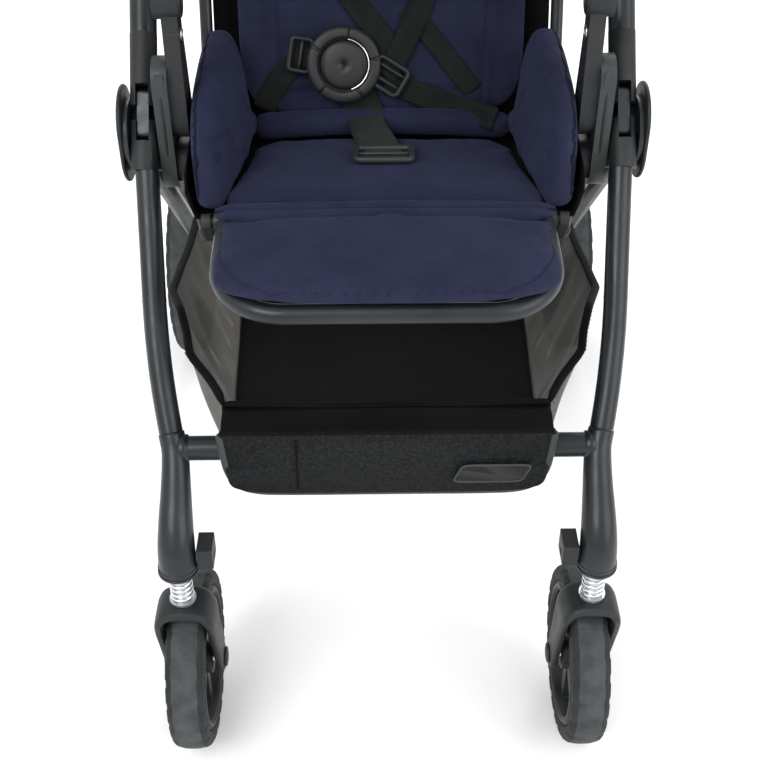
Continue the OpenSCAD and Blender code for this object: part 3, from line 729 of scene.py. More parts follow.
SPRING_TURNS = 6
SPRING_STEPS = 156
WIRE = 0.0015


def spring_piece(side):
    """Chromed coil in the CAD spring's place; it rides on the chassis."""
    lo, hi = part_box(f"spring_{side}")
    centre = (lo + hi) / 2
    radius = (hi.x - lo.x) / 2 - WIRE
    length = hi.z - lo.z
    path = []
    for i in range(SPRING_STEPS + 1):
        t = i / SPRING_STEPS
        rise = min(max((t - 0.07) / 0.86, 0), 1)
        a = 2 * math.pi * SPRING_TURNS * t
        path.append(Vector((centre.x + radius * math.cos(a), centre.y + radius * math.sin(a),
                            lo.z + WIRE + (length - 2 * WIRE) * rise)))
    coil = tube(f"spring_coil_{side}", path, WIRE, CHROME, "chassis")
    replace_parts(coil, f"spring_{side}")
    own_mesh(coil)


for side in SIDES:
    spring_piece(side)


# ---------- feet of the front legs ----------

CASTER_X = 203
TRAIL = -22
# (x, y, z, radius) down each foot, and (z, radius, bead) of the rims at its mouth.
FOOT_LINE = [(207.9, 54.0, 361.2, 12.6), (204.2, 42.0, 345.7, 13.0), (203.2, 20, 323, 14.4),
             (203, -3, 301, 16.4), (203, -17, 281, 17.8), (203, -22, 264, 18.4), (203, -22, 252, 18.6)]
FOOT_RIMS = [(253, 18.4, 1.7), (259, 18.6, 0.9)]

for side, sign in SIDES.items():
    run = smooth_path([(y, z, r) for _, y, z, r in FOOT_LINE], 6)
    across = smooth_path([(x, 0, 0) for x, _, _, _ in FOOT_LINE], 6)
    line = [at(sign * c.x, q.x, q.y) for q, c in zip(run, across)]
    foot = tube(f"foot_{side}", line, [q.z * MM for q in run], FRAME, "chassis", sides=40)
    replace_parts(foot, f"leg_foot_{side}")
    for index, (z, r, w) in enumerate(FOOT_RIMS):
        collar = ring(at(sign * CASTER_X, TRAIL, z), r * MM, 64, level=True)
        tube(f"foot_rim_{side}_{index}", collar, w * MM, FRAME, "chassis", closed=True)
    stub = [at(sign * x, 45, 349) for x in (188, 192, 196, 200, 204)]
    tube(f"crossbar_socket_{side}", stub, 0.0138, FRAME, "chassis", sides=32)


# ---------- forks ----------

FORK_PATH = [(26, 79.2), (26, 84), (26, 94), (26, 120), (26, 150), (26, 176), (24.5, 190), (18.5, 199.5),
             (9, 203), (0, 203.3)]
AXLE_Z = 94


def fork_piece(side, sign):
    """Moulded fork: one smooth arch over the wheel, its arms sloping forward to the axle."""
    half_path = smooth_path([(x, 0, z) for x, z in FORK_PATH], 5)
    path = half_path + [Vector((-p.x, 0, p.z)) for p in reversed(half_path[:-1])]
    rows = []
    for p, d in zip(path, tangents(path)):
        rise = min(max((p.z - AXLE_Z) / 96, 0), 1)
        deep = math.sqrt(max(9.0, 225 - min(0, p.z - AXLE_Z) ** 2)) + 6 * rise
        thick = 4.4 + 2.0 * max(0.0, 1 - abs(p.x) / 24)
        out = Vector((d.z, 0, -d.x)).normalized()
        row = []
        for a in turns(28):
            c, t = math.cos(a), math.sin(a)
            r = (abs(c) ** 5 + abs(t) ** 5) ** -0.2
            row.append(Vector((sign * CASTER_X, TRAIL * rise + deep * r * t, 0)) + p + out * (thick * r * c))
        rows.append(row)
    body = f"caster_{side}"
    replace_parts(piece(f"fork_arch_{side}", *skin(rows), PLASTIC, body), f"fork_{side}")
    for index, x in enumerate((-1, 1)):
        cap = [at(sign * CASTER_X + x * q, 0, AXLE_Z) for q in (29, 30.5, 31.5, 32.5, 33.5)]
        tube(f"axle_cap_{side}_{index}", cap, 0.0105, PLASTIC, body, sides=32)
    axle = [at(sign * CASTER_X + q, 0, AXLE_Z) for q in (-30, -15, 0, 15, 30)]
    tube(f"axle_{side}", axle, 0.0049, STEEL, body, "grey_plastic", sides=20)


for side, sign in SIDES.items():
    fork_piece(side, sign)


# ---------- leg rest ----------

LEG_PAD_W = 158
LEG_PAD_REAR = -16
LEG_PAD_FRONT = -134
LEG_PAD_BOW = 6
LEG_PAD_LOW = 9.4
LEG_PAD_T = 14
LEG_PAD_CORNER = 58


def leg_pad_shape(p):
    """Slab with big round front corners and a bowed front, crowned on top, its rear edge straight."""
    q = rounded(p.x * 0.999, p.y * 0.999, 4.4)
    x = q.x * (LEG_PAD_W - 4)
    y = (LEG_PAD_FRONT + LEG_PAD_REAR) / 2 + q.y * ((LEG_PAD_REAR - LEG_PAD_FRONT) / 2 - 3)
    if q.y > 0:
        x = p.x * (LEG_PAD_W - 4) * (1 - 0.02 * q.y)
    else:
        y += LEG_PAD_BOW * q.y * (1 - q.x * q.x)
    edge = 1 - 0.4 * max(0.0, max(abs(p.x), abs(p.y)) - 0.9) / 0.1
    crown = 2.4 * (1 - p.x * p.x) * (1 - p.y * p.y)
    z = LEG_PAD_LOW + LEG_PAD_T / 2 + p.z * (LEG_PAD_T / 2 - 1.4) * edge + (crown if p.z > 0 else 0)
    return (x, y, z)


def leg_pad_held(p):
    return (LEG_REST.inverted() @ p).z < LEG_PAD_LOW + 2.5


def leg_pad_ring(inset):
    """A line round the leg rest pad's front and sides, inset from its edge, as a path in metres."""
    w, f = LEG_PAD_W - 2 - inset, LEG_PAD_FRONT + inset
    points = [(-w, -20, 40)]
    for sign, start in ((-1, 180), (1, 270)):
        for k in range(9):
            a = math.radians(start + 90 * k / 8)
            x = sign * (w - LEG_PAD_CORNER) + LEG_PAD_CORNER * math.cos(a)
            bow = LEG_PAD_BOW * max(0.0, 1 - (x / w) ** 2) * max(0.0, -math.sin(a))
            points.append((x, f + LEG_PAD_CORNER * (1 + math.sin(a)) - bow, 40))
        if sign < 0:
            points.append((0, f - LEG_PAD_BOW, 40))
    points.append((w, -20, 40))
    return [LEG_REST @ p for p in smooth_path(points, 8)]


leg_pad = pad("leg_rest_pad", 24, leg_pad_shape, LEG_REST, "leg_rest", 0.0028, "legrest_pad", leg_pad_held)
lip = cast_on(surface_of(leg_pad), leg_pad_ring(9), facing(LEG_REST, (0, 0, -1)))
seam(leg_pad, "leg_rest_lip", lip, "leg_rest", 0.0016, 0.0022)


# ---------- seat cushion and the folds in front of it ----------

CUSHION_W = 159
CUSHION_TAPER = 26
CUSHION_D = 192
CUSHION_T = 25
SEAM_Y = 14


def cushion_shape(p):
    """Crowned cushion with rolled edges; its sides pull in a little between the corners."""
    q = rounded(p.x, p.y, 9)
    pull_in = 1 - 0.006 * (1 - p.y * p.y)
    x = q.x * (CUSHION_W - 2 - CUSHION_TAPER * (p.y + 1) / 2) * pull_in
    y = CUSHION_D / 2 + q.y * (CUSHION_D / 2 - 5)
    edge = 1 - 0.45 * max(0.0, max(abs(p.x), abs(p.y)) - 0.86) / 0.14
    hollow = 1.6 * math.exp(-((p.x / 0.55) ** 2 + ((p.y - 0.3) / 0.6) ** 2))
    z = -CUSHION_T / 2 - 1.5 + p.z * (CUSHION_T / 2 - 3) * edge - (hollow if p.z > 0 else 0)
    return (x, y, z)


def cushion_held(p):
    q = SEAT.inverted() @ p
    return q.z < -CUSHION_T + 3 or (q.z > -12 and abs(q.y - SEAM_Y) < 4)


cushion = pad("cushion", 26, cushion_shape, SEAT, "chassis", 0.0055, "seat_cushion", cushion_held)
cushion_seams = [
    [(x, SEAM_Y + 2 * math.cos(x / 60), 30) for x in range(-150, 151, 10)],
    [(x, 170 + 4 * math.cos(x / 50), 30) for x in range(-120, 121, 12)],
]
for index, line in enumerate(cushion_seams):
    path = cast_on(surface_of(cushion), [SEAT @ p for p in smooth_path(line, 4)], facing(SEAT, (0, 0, -1)))
    seam(cushion, f"cushion_seam_{index}", path, "chassis", 0.003, 0.0035, sewn=index == 0)


def roll_piece(name, half, radius, body, flat=1.0):
    """A soft sewn roll that follows a path, thinner at its ends, with faint gathers."""
    path = smooth_path(mirrored(half), 8)
    rows = []
    for i, (p, d) in enumerate(zip(path, tangents(path))):
        t = i / (len(path) - 1)
        end = min(min(t, 1 - t) * 14, 1.0)
        r = radius * (0.35 + 0.65 * math.sqrt(end * (2 - end)))
        side = Vector((0, 0, 1)).cross(d).normalized()
        up = d.cross(side)
        row = []
        for a in turns(18):
            wob = 1 + 0.03 * noise.noise(Vector((p.x * 0.06, a, radius)))
            row.append(p + side * (r * wob * math.cos(a)) + up * (r * wob * flat * math.sin(a)))
        rows.append(row)
    obj = piece(name, *skin(rows), NAVY, body)
    return obj


front_roll = roll_piece("seat_front_roll", [(158, 147, 551), (79, 143, 555), (0, 142, 556)], 6.5, None)
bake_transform(front_roll)
roll_piece("seat_fold_roll", [(155, 134, 553), (77, 129, 556), (0, 128, 557)], 6.0, "leg_rest")
rear_roll = roll_piece("seat_rear_roll", [(137, 342, 541), (70, 346, 543), (0, 347, 544)], 13, "chassis", 1.1)


# ---------- side wings ----------

WING_FORM = [(157, 546), (166, 564), (180, 590), (202, 614), (232, 630), (284, 640), (338, 645), (364, 638),
             (359, 606), (347, 573), (333, 547), (290, 539), (215, 540)]
WING_OUT = 186.5
WING_CENTRE = Vector((0, 268, 592))
WING_RINGS = 10
WING_QUILTS = [[(190, 598), (226, 590), (232, 566), (262, 556), (270, 546)],
               [(262, 630), (290, 606), (300, 580), (318, 566)]]
WING_EDGE = [(162, 560), (182, 596), (204, 618), (234, 634), (284, 645), (350, 650)]


def side_line(x, points):
    """A smooth line in the plane x, through (y, z) points."""
    return [at(x, y, z) for _, y, z in smooth_path([(0, y, z) for y, z in points], 10)]


def wing_point(sign, share, p, face):
    """A point of the wing's inner (face -1) or outer face: share runs from its centre to its outline."""
    q = WING_CENTRE + (p - WING_CENTRE) * share
    swell = math.sqrt(max(0.0, 1 - share ** 3))
    inner = 152 - 20 * min(max((q.y - 165) / 180, 0), 1)
    inner += 13 * max(0.0, (q.z - 585) / 60) ** 1.5
    near_base = min(max((588 - q.z) / 34, 0), 1)
    full = 0.3 + 0.7 * swell
    if face < 0:
        full = max(full, near_base) + 0.16 * near_base
    middle = (inner + WING_OUT) / 2 + 1.5 - 3 * near_base
    return (sign * (middle + face * ((WING_OUT - inner) / 2 - 2) * full), q.y, q.z)


def wing_held(p):
    q = ROW.inverted() @ p
    pucker = abs(q.z - (580 + 0.1 * (q.y - 180))) < 2.5 and q.y < 215
    return q.z < 545 or pucker or abs(q.x) > 185


def wing_piece(side, sign):
    """Padded side bolster, round in side view: fat and sloping inwards, thinner at its front corner."""
    outline = smooth_path([(0, y, z) for y, z in WING_FORM], 6, closed=True)
    n = len(outline)
    verts, faces = [], []
    for face in (1, -1):
        base = len(verts)
        for index in range(WING_RINGS + 1):
            share = math.sin(math.pi / 2 * index / WING_RINGS) if index else 0.02
            verts.extend(wing_point(sign, share, p, face) for p in outline)
        for a in range(base, base + WING_RINGS * n, n):
            for k in range(n):
                m = (k + 1) % n
                faces.append((a + k, a + m, a + n + m, a + n + k))
        faces.append(tuple(range(base, base + n)))
    top, bottom = WING_RINGS * n, (2 * WING_RINGS + 1) * n
    for k in range(n):
        m = (k + 1) % n
        faces.append((top + k, top + m, bottom + m, bottom + k))
    obj = piece(f"wing_{side}", verts, faces, NAVY)
    inflate(obj, 0.006, wing_held, 3.5)
    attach(obj, "chassis")
    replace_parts(obj, f"seat_wing_{side}")
    for index, line in enumerate(WING_QUILTS):
        path = cast_on(surface_of(obj), side_line(sign * 60, line), Vector((sign, 0, 0)))
        seam(obj, f"wing_{side}_quilt_{index}", path, "chassis", 0.0026, 0.003, sewn=False)
    seam(obj, f"wing_{side}_edge", side_line(sign * 184, WING_EDGE), "chassis", 0.0018, 0.0026, piped=0.0012)
    groove(obj, [at(sign * x, 178 + 0.6 * (190 - x), 580) for x in range(160, 191, 3)], 0.004, 0.004)
    return obj


wings = [wing_piece(side, sign) for side, sign in SIDES.items()]


# ---------- backrest pad ----------

BACK_LEN = 428
BACK_W = 154
BACK_FRONT = -8
BACK_T = 28


def back_shape(p):
    """Tall pad, narrower at its head, with a thicker bolster down each side."""
    q = rounded(p.x, p.z, 8)
    z = 8 + (BACK_LEN - 16) * (q.y + 1) / 2
    head = max(0.0, (z - BACK_LEN * 0.68) / (BACK_LEN * 0.32))
    edge = 1 - 0.45 * max(0.0, max(abs(p.x), abs(p.z)) - 0.86) / 0.14
    bolster = 5.0 * max(0.0, abs(p.x) - 0.7) / 0.3
    y = BACK_FRONT + BACK_T / 2 + 2 + p.y * (BACK_T / 2 - 2.5) * edge
    return (q.x * (BACK_W - 30 * head ** 2.2 - 3), y - (bolster if p.y < 0 else 0), z)


def channel_x(z):
    return 104 + 6 * math.sin(z / 130)


def back_held(p):
    q = BACK.inverted() @ p
    return q.y > BACK_FRONT + BACK_T - 4 or abs(abs(q.x) - channel_x(q.z) - 6) < 5


back_lines = {}
for title, offset, top in (("channel", 0, 400), ("channel_two", 12, 390)):
    for side, sign in SIDES.items():
        back_lines[f"{side}_{title}"] = [(sign * (channel_x(z) + offset), -40, z) for z in range(14, top, 14)]
widths = range(-100, 101, 10)
back_lines["low_channel"] = [(x, -40, 34 + 3 * math.cos(x / 40)) for x in widths]
back_lines["middle_channel"] = [(x, -40, 190 - 0.0018 * x * x) for x in widths]
back_lines["head_channel"] = [(x, -40, 320 - 0.0025 * x * x) for x in widths]

back = pad("backrest_pad", 30, back_shape, BACK, "backrest", 0.008, "back_pad", back_held)
inward = facing(BACK, (0, 1, 0))
for title, line in back_lines.items():
    path = cast_on(surface_of(back), [BACK @ p for p in smooth_path(line, 4)], inward)
    seam(back, "back_" + title, path, "backrest", 0.0026, 0.0032, sewn="two" not in title)


# ---------- seat shell: dark lining under and behind the pads ----------

def shell_shape(u, v):
    """Lining that runs under the cushion and up the outside of both wings."""
    path = mirrored([(186, 614 - 36 * (1 - v)), (186.5, 560), (178, 534), (120, 527), (0, 526)])
    t = u * (len(path) - 1)
    k = min(int(t), len(path) - 2)
    (x0, z0), (x1, z1) = path[k], path[k + 1]
    x, z = x0 + (x1 - x0) * (t - k), z0 + (z1 - z0) * (t - k)
    sink = 25 * v - 5 if z < 556 else 0
    front = 26 * max(0.0, (z - 545) / 90) * (1 - v)
    return (x, 158 + 190 * v + front, z - sink * (1 if abs(x) < 176 else 0.5))


def back_shell_shape(u, v):
    side = 2 * u - 1
    return (177 * side * (1 - 0.16 * max(0, (v - 0.8) / 0.2) ** 2), 25 - 9 * abs(side) ** 10, 6 + 408 * v)


fold_run = smooth_path([(0, 334, 509), (0, 352, 507), (0, 370, 518), (0, 382, 542), (0, 390, 566)], 6)


def fold_shape(u, v):
    p = fold_run[min(int(v * (len(fold_run) - 1) + 0.5), len(fold_run) - 1)]
    return (166 * (2 * u - 1), p.y, p.z)


shell = cloth("seat_lining", 48, 14, shell_shape, 1.2, LINER, "chassis", NAVY.slot)
back_shell = cloth("back_lining", 24, 30, back_shell_shape, 1.2, LINER, "backrest", NAVY.slot, matrix=BACK)
fold = cloth("back_fold_lining", 20, 24, fold_shape, 1.2, LINER, None, NAVY.slot)
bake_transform(fold)


# ---------- hood ----------

HOOD_UP = (BACK.inverted() @ pivot("hood_fold")).z
HOOD_PIVOT = Vector((0, 0, HOOD_UP))
HOOD_RIBS = {"front": (118, 144, 170), "rear": (82, 105, 128)}
# Radius, half width, sag of the cloth between ribs, lift of the ribs and height of the disc on each pivot.
HOOD_SIZE = {"front": (273, 205.4, 2.0, 0.2, 0.2), "rear": (268.6, 202.0, 4.0, -0.9, -2.6)}
HOOD_EDGE = 2.5


def hood_point(part, across, angle, lift=0.0):
    """A point of the hood in the backrest's frame: across runs from 0 at one pivot to 180 at the other."""
    radius, half, sag, _, _ = HOOD_SIZE[part]
    ribs = HOOD_RIBS[part]
    a = math.radians(across)
    drop = 0.0
    for one, two in zip(ribs, ribs[1:]):
        if one <= angle <= two:
            drop = sag * max(0.0, math.sin(math.pi * (angle - one) / (two - one))) ** 0.8
    rad = (radius + lift - drop * math.sin(a)) * math.sin(a) ** 0.5
    x = (half + lift - 0.6 * drop * abs(math.cos(a))) * math.copysign(abs(math.cos(a)) ** 0.5, math.cos(a))
    b = math.radians(angle)
    return Vector((x, rad * math.cos(b), HOOD_UP + rad * math.sin(b)))


def hood_piece(part, body):
    """The cloth of one hood part with its ribs and the stitches beside its middle rib."""
    radius, half, _, rib_lift, disc_z = HOOD_SIZE[part]
    first, last = HOOD_RIBS[part][0], HOOD_RIBS[part][-1]
    angle = math.radians(last - first)

    def shape(u, v):
        return hood_point(part, HOOD_EDGE + (180 - 2 * HOOD_EDGE) * u, first + (last - first) * v)

    sheet = cloth(f"hood_{part}_cloth", 84, 40, shape, 1.5, NAVY, body, matrix=BACK)
    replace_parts(sheet, f"hood_{part}")
    middle = [hood_point(part, HOOD_EDGE + 1.75 * k, first) for k in range(101)]
    arc = sum((b - a).length for a, b in zip(middle, middle[1:]))
    outside = [p - HOOD_PIVOT for p in middle]
    area = sum((b - a).length * math.hypot(a.y, a.z) * angle for a, b in zip(outside, outside[1:]))
    flat = (arc * MM, angle * radius * MM)
    area = min(area * MM * MM, flat[0] * flat[1])
    for index, rib in enumerate(HOOD_RIBS[part]):
        line = [BACK @ hood_point(part, 6 + 1.68 * k, rib, rib_lift) for k in range(101)]
        tube(f"hood_{part}_rib_{index}", line, 0.0021, SEAM, body, sides=8)
        if first < rib + 3 < last:
            run = [hood_point(part, 6 + 0.84 * k, rib + 2.2, 1.1) for k in range(201)]
            away = [facing(BACK, p - HOOD_PIVOT) for p in run]
            stitches(f"hood_{part}_stitch_{index}", [BACK @ p for p in run], away, THREAD, body, pitch=0.0042)
    outline = [(4.6, -1.6), (17, -1.6), (17.6, -0.6), (16.4, 0.3), (9, 0.6), (4.6, 0.6)]
    for side, sign in SIDES.items():
        centre = Matrix.Translation(BACK @ Vector((sign * half, 0, HOOD_UP)))
        turn = centre @ Matrix.Rotation(sign * math.pi / 2, 4, "Y") @ Matrix.Scale(MM, 4)
        lathe(f"hood_{part}_disc_{side}", [(r, disc_z + h) for r, h in outline], turn, PLASTIC, body)


hood_piece("front", "hood_front")
hood_piece("rear", "backrest")


# ---------- basket ----------

BASKET_LINE = [(0, 61, 390), (0, 59, 352), (0, 61, 318), (0, 72, 299), (0, 112, 294), (0, 245, 291),
               (0, 378, 294), (0, 416, 299), (0, 430, 322), (0, 448, 362), (0, 466, 402)]
FLARE = [(61, 26), (127, 36), (208, 58), (390, 52), (466, 30)]
BASKET_FRONT, BASKET_REAR = 61, 466
FLOOR_Z = 294.6
CREST_Y = 153
basket_run = smooth_path(BASKET_LINE, 8)


def basket_half(y, z):
    """Half width of the basket: narrow at its floor, flaring out towards its rim between the legs."""
    rise = min(max((z - 299) / 110, 0), 1)
    flare = FLARE[-1][1]
    for (y0, f0), (y1, f1) in zip(FLARE, FLARE[1:]):
        if y < y1:
            flare = f0 + (f1 - f0) * max(0, y - y0) / (y1 - y0)
            break
    return 156 + 12 * min(max((y - BASKET_FRONT) / 330, 0), 1) + rise * flare


def liner_shape(u, v):
    """Rumpled lining over the front, the floor and the back."""
    p = basket_run[min(int(v * (len(basket_run) - 1) + 0.5), len(basket_run) - 1)]
    s = 2 * u - 1
    sag = -3.0 * (1 - s * s) * math.exp(-(((p.y - 245) / 150) ** 2))
    rumple = 2.2 * noise.noise(Vector((s * 3.1, p.y * 0.019, p.z * 0.03)))
    rim = 4 * (1 - s * s) if v in (0.0, 1.0) else 0
    x = s * (157 if p.y < 66 else basket_half(p.y, p.z))
    if p.z > 320:
        return (x, p.y + abs(rumple) * (1 if p.y < 200 else -1), p.z - rim)
    return (x, p.y, p.z + max(sag + rumple * 0.6, 294.2 - p.z) - rim)


liner = cloth("basket_liner", 44, len(basket_run) - 1, liner_shape, 1.4, LINER, "chassis")
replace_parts(liner, "basket_tub")


def basket_rim(y):
    """Height of the side's elastic hem: up from the front to a crest, then sagging down to the back."""
    if y < CREST_Y:
        return 390 + 46 * ((y - BASKET_FRONT) / (CREST_Y - BASKET_FRONT)) ** 0.8
    t = (y - CREST_Y) / (BASKET_REAR - CREST_Y)
    return 436 - 34 * t - 14 * math.sin(math.pi * t)


def side_shape(sign, u, v):
    """Mesh side that drapes from its hem, with ripples that fade at its ends."""
    y = BASKET_FRONT + (BASKET_REAR - BASKET_FRONT) * u
    low_y = 66 + 362 * u
    top = basket_rim(y)
    yy = low_y + (y - low_y) * v
    belly = math.sin(math.pi * v)
    wave = math.sin(u * 21 + 2 * v + sign) + 0.6 * math.sin(u * 47 - 3 * v)
    ripple = 3.2 * belly * wave * min(1, 9 * u, 9 * (1 - u))
    foot_x = basket_half(yy, 299)
    x = foot_x + ((basket_half(yy, top) - foot_x) * v ** 0.85 + 1.75 * belly) * min(1, 9 * u) + ripple
    return Vector((sign * x, yy, FLOOR_Z + (top - FLOOR_Z) * v))


for side, sign in SIDES.items():
    wall = cloth(f"basket_side_{side}", 96, 26, lambda u, v: side_shape(sign, u, v), 0.8, MESH, "chassis",
                 uvs=lambda u, v: (u * 0.415, v * 0.132))
    hem = [ROW @ side_shape(sign, u / 60, 1.0) for u in range(61)]
    tube(f"basket_hem_{side}", hem, 0.0042, LINER, "chassis")
    edge = [ROW @ (side_shape(sign, u / 60, 0.0) + Vector((sign * 1.2, 0, 0))) for u in range(61)]
    tube(f"basket_piping_{side}", edge, 0.0022, LINER, "chassis", sides=8)
    for end, u in (("front", 0.0), ("rear", 1.0)):
        line = [ROW @ side_shape(sign, u, v / 20) for v in range(21)]
        tube(f"basket_corner_{end}_{side}", line, 0.002, LINER, "chassis", sides=8)
    hem_out = [p + Vector((sign * 0.0042, 0, -0.001)) for p in hem]
    stitches(f"basket_hem_stitch_{side}", hem_out, [Vector((sign, 0, 0))] * 61, BLACK_THREAD, "chassis",
             MESH.slot, pitch=0.005)
for end, v in (("front", 0.0), ("rear", 1.0)):
    line = [ROW @ Vector(liner_shape(u / 40, v)) for u in range(41)]
    tube(f"basket_rim_{end}", line, 0.0034, LINER, "chassis")


def panel_shape(p):
    """Stiffened front panel: a slab with big lower corners."""
    q = p.xz if p.z > 0 else rounded(p.x, p.z, 7).xy
    taper = 158 - 7 * (386 - (348.5 + 36.5 * rounded(p.x, p.z, 7).y)) / 75
    bulge = 1.2 * (1 - p.x * p.x) * (1 - p.z * p.z)
    return (q.x * taper, 24 + 3.4 * p.y - (bulge if p.y < 0 else -bulge), 348.5 + 36.5 * q.y)


panel = block("basket_front_panel", 30, panel_shape, PANEL, "chassis")
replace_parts(panel, "basket_panel")
rim_line = mirrored([(157, 384), (155, 360), (152, 338), (144, 322), (126, 313.5), (90, 311.5), (0, 311.5)])
panel_rim = [ROW @ p for p in smooth_path([(x, 23.6, z) for x, z in rim_line], 8)]
tube("panel_rim", panel_rim, 0.0042, PALE, "chassis", PANEL.slot, sides=12)
tube("panel_top_rim", [at(x, 24, 385) for x in range(-156, 157, 12)], 0.0036, LINER, "chassis", PANEL.slot)
joint = [at(-86, 18.9, z) for z in range(316, 384, 4)]
tube("panel_joint", joint, 0.0009, LINER, "chassis", PANEL.slot, sides=6)


def lid_shape(u, v):
    return (156 * (2 * u - 1), 26 + 34 * v, 386 + 3.4 * math.sin(math.pi * v))


lid = cloth("basket_front_cover", 30, 12, lid_shape, 1.3, LINER, "chassis", PANEL.slot)
badge = Matrix.Translation(at(100, 17.8, 339)) @ Matrix.Scale(MM, 4)


def badge_shape(p):
    """Thin plate whose ends slant, with no mark on it."""
    q = rounded(p.x, p.z, 8)
    return Vector((q.x * 33 + 4.5 * q.y, p.y * 1.2 - 0.8, q.y * 10.5))


block("blank_badge", 14, badge_shape, LABEL, "chassis", matrix=badge)
badge_ring = [badge @ badge_shape(Vector((math.cos(a), -1, math.sin(a)))) for a in turns(72)]
tube("blank_badge_rim", badge_ring, 0.0011, PALE, "chassis", sides=8, closed=True)


# ---------- harness ----------

seat_surface = surface_of(back, cushion, rear_roll, *wings)


def webbing(name, points, width=25, lift=0.6, ease=6):
    """Webbing laid on the seat's surface through (x, z) points seen from the front; gives its path too."""
    line = smooth_path([BACK @ Vector((x, -70, z)) for x, z in points], 10)
    path = evened(cast_on(seat_surface, line, inward, lift * MM), ease)
    return strap(name, path, [-inward] * len(path), width * MM, 0.0017, "backrest"), path


def face_frame(x, z, depth, turn=0.0):
    """Frame on the backrest's front: X across, Y up the pad, Z towards the child."""
    return (BACK @ Matrix.Translation((x, depth, z)) @ Matrix.Rotation(math.pi / 2, 4, "X")
            @ Matrix.Rotation(math.radians(turn), 4, "Z"))


def ladder(name, matrix, w, h, radius, body, bars, look=BUCKLE):
    """Slide adjuster: a rounded frame with bars across it."""
    corner = min(w, h) * 0.18
    path = []
    for sx, sy, start in ((1, 1, 0), (-1, 1, 90), (-1, -1, 180), (1, -1, 270)):
        for k in range(7):
            a = math.radians(start + 15 * k)
            path.append(matrix @ Vector((sx * (w / 2 - corner) + corner * math.cos(a),
                                         sy * (h / 2 - corner) + corner * math.sin(a), radius)))
    tube(name, path, radius * MM, look, body, sides=12, closed=True)
    for index, y in enumerate(bars):
        line = [matrix @ Vector((x * w / 2, y, radius)) for x in (-1, -0.5, 0, 0.5, 1)]
        tube(f"{name}_bar_{index}", line, radius * 0.8 * MM, look, body)


left_line = [(-60, 312), (-57, 250), (-51, 195), (-38, 138), (-14, 104), (9, 74), (4, 54)]
left_strap, _ = webbing("shoulder_strap_left", left_line, lift=1.0)
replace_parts(left_strap, "harness_straps")
webbing("shoulder_strap_right", [(62, 312), (58, 240), (49, 165), (41, 122), (22, 80), (4, 48)], lift=2.9)
webbing("tail_strap", [(26, 116), (52, 86), (76, 56), (96, 32)], width=22)
_, end_path = webbing("waist_strap_right", [(4, 42), (36, 30), (76, 16), (118, 3)], lift=2.0, ease=14)
tab = end_path[-10:]
tab_side = (tab[-1] - tab[0]).normalized().cross(inward)
for offset in (-0.007, 0.007):
    line = [p + tab_side * offset - inward * 0.0019 for p in tab]
    stitches(f"waist_tab_stitch_{offset > 0}", line, [-inward] * 10, BLACK_THREAD, "backrest", pitch=0.003)
webbing("waist_strap_left", [(-78, 68), (-98, 55), (-118, 30), (-127, 12)], width=24, lift=1.6, ease=14)
webbing("waist_link_left", [(-62, 64), (-76, 67), (-90, 68)], width=22, lift=4)

buckle_frame = face_frame(-40, 60, -11.5)
BASE_PROFILE = [(0.01, 0.5), (36.5, 0.5), (38.6, 2), (38.8, 5.5), (37.6, 7.2), (25.0, 7.4),
                (24.9, 4.8), (0.01, 4.8)]
SEGMENT_PROFILE = [(27.4, 7.0), (38.2, 6.6), (38.9, 7.6), (38.2, 9.2), (35.5, 10.6), (29.4, 10.9),
                   (27.8, 10.2)]
CHROME_PROFILE = [(25.2, 7.4), (27.0, 7.4), (27.0, 9.8), (26.1, 10.3), (25.2, 9.8)]
DOME_PROFILE = [(0.01, 7.7), (23.4, 7.7), (24.4, 8.6), (24.0, 10.2), (20.5, 11.3), (10, 11.9), (0.01, 12.1)]
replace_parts(lathe("buckle_base", BASE_PROFILE, buckle_frame, BUCKLE, "backrest"), "harness_buckle")
for index, span in enumerate(((-58, 8), (12, 78), (82, 148), (152, 226), (230, 298))):
    lathe(f"buckle_segment_{index}", SEGMENT_PROFILE, buckle_frame, BUCKLE, "backrest", span, 24)
lathe("buckle_chrome", CHROME_PROFILE, buckle_frame, CHROME, "backrest", (-75, 80), 36)
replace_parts(lathe("buckle_dome", DOME_PROFILE, buckle_frame, BUCKLE, "buckle_button"), "buckle_button")
for index, sign in enumerate((-1, 1)):
    lens = []
    for a in turns(40):
        y = 12.5 * math.sin(a)
        lens.append(buckle_frame @ Vector((sign * (15.2 + 5.4 * math.cos(a)), y, 11.4 - 0.0048 * y * y)))
    tube(f"buckle_lens_{index}", lens, 0.0007, BUCKLE, "buckle_button", sides=8, closed=True)

ladder("adjuster_right", face_frame(6, 48, -13, -32), 36, 29, 2.7, "backrest", (-6, 7))
ladder("adjuster_left", face_frame(-85, 70, -12, 80), 33, 22, 2.4, "backrest", (0,))

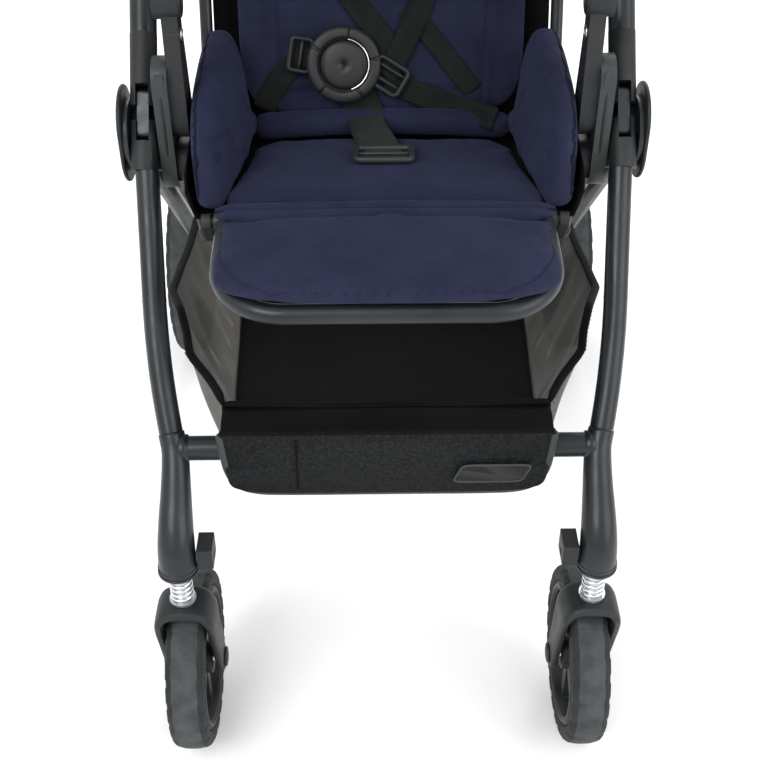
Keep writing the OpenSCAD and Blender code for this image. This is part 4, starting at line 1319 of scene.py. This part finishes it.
slider_at = SEAT @ Matrix.Translation((0, 104, 2.0))
crotch_points = [BACK @ Vector(p) for p in ((-28, -13, 34), (-20, -11, 16))]
crotch_points += [SEAT @ Vector(p) for p in ((-15, 172, 9), (-7, 146, 4.5), (-1, 122, 4), (0, 100, 4))]
crotch_path = smooth_path(crotch_points, 10)
count = len(crotch_path)
up = Vector((0, 0, 1))
crotch_normals = [(-inward * (1 - k / count) + up * (k / count)).normalized() for k in range(count)]
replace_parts(strap("crotch_webbing", crotch_path, crotch_normals, 0.038, 0.0018, "chassis"), "crotch_strap")
ladder("crotch_slider", slider_at, 56, 33, 3.4, "chassis", (0,), PALE)
block("crotch_slider_cross", 3, lambda p: (p.x * 24, p.y * 5, p.z * 1.6 + 2.5), BUCKLE, "chassis",
      matrix=slider_at, smooth=False)


# ---------- small details ----------

for side, sign in SIDES.items():
    for index, r in enumerate((15.0, 8.0)):
        disc = ring(at(sign * 184.6, 241, 716), r * MM)
        tube(f"arm_disc_{side}_{index}", disc, 0.0009, PALE, "chassis", sides=8, closed=True)
    bolt = ring(at(sign * 186.4, 240, 684), 0.0052)
    tube(f"arm_bolt_{side}", bolt, 0.0011, STEEL, "chassis", sides=8, closed=True)
    rib = smooth_path([at(sign * 209, y, z) for y, z in ((219.4, 634), (219.6, 600), (222, 566))], 8)
    tube(f"adapter_rib_{side}", rib, 0.0016, PLASTIC, "chassis", sides=8)
    block(f"adapter_tab_{side}", 3, lambda p: (sign * 209 + p.x * 4.2, 219 + p.y * 1.4, 646 + p.z * 7), PALE,
          "chassis", smooth=False)

grip_lo, grip_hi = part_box("handle_grip")
slide = Vector(JOINTS["handle_height"]["axis"])
under = (grip_lo + grip_hi) / 2 - slide * ((grip_hi.z - grip_lo.z) / 2 + 0.0002)
for index, (x0, x1) in enumerate(((grip_lo.x + 0.004, -0.028), (0.028, grip_hi.x - 0.004))):
    line = [Vector((x0 + (x1 - x0) * k / 60, under.y, under.z)) for k in range(61)]
    stitches(f"grip_seam_{index}", line, [-slide] * 61, BLACK_THREAD, "handle_upper", GRIP.slot,
             pitch=0.004, radius=0.0006)
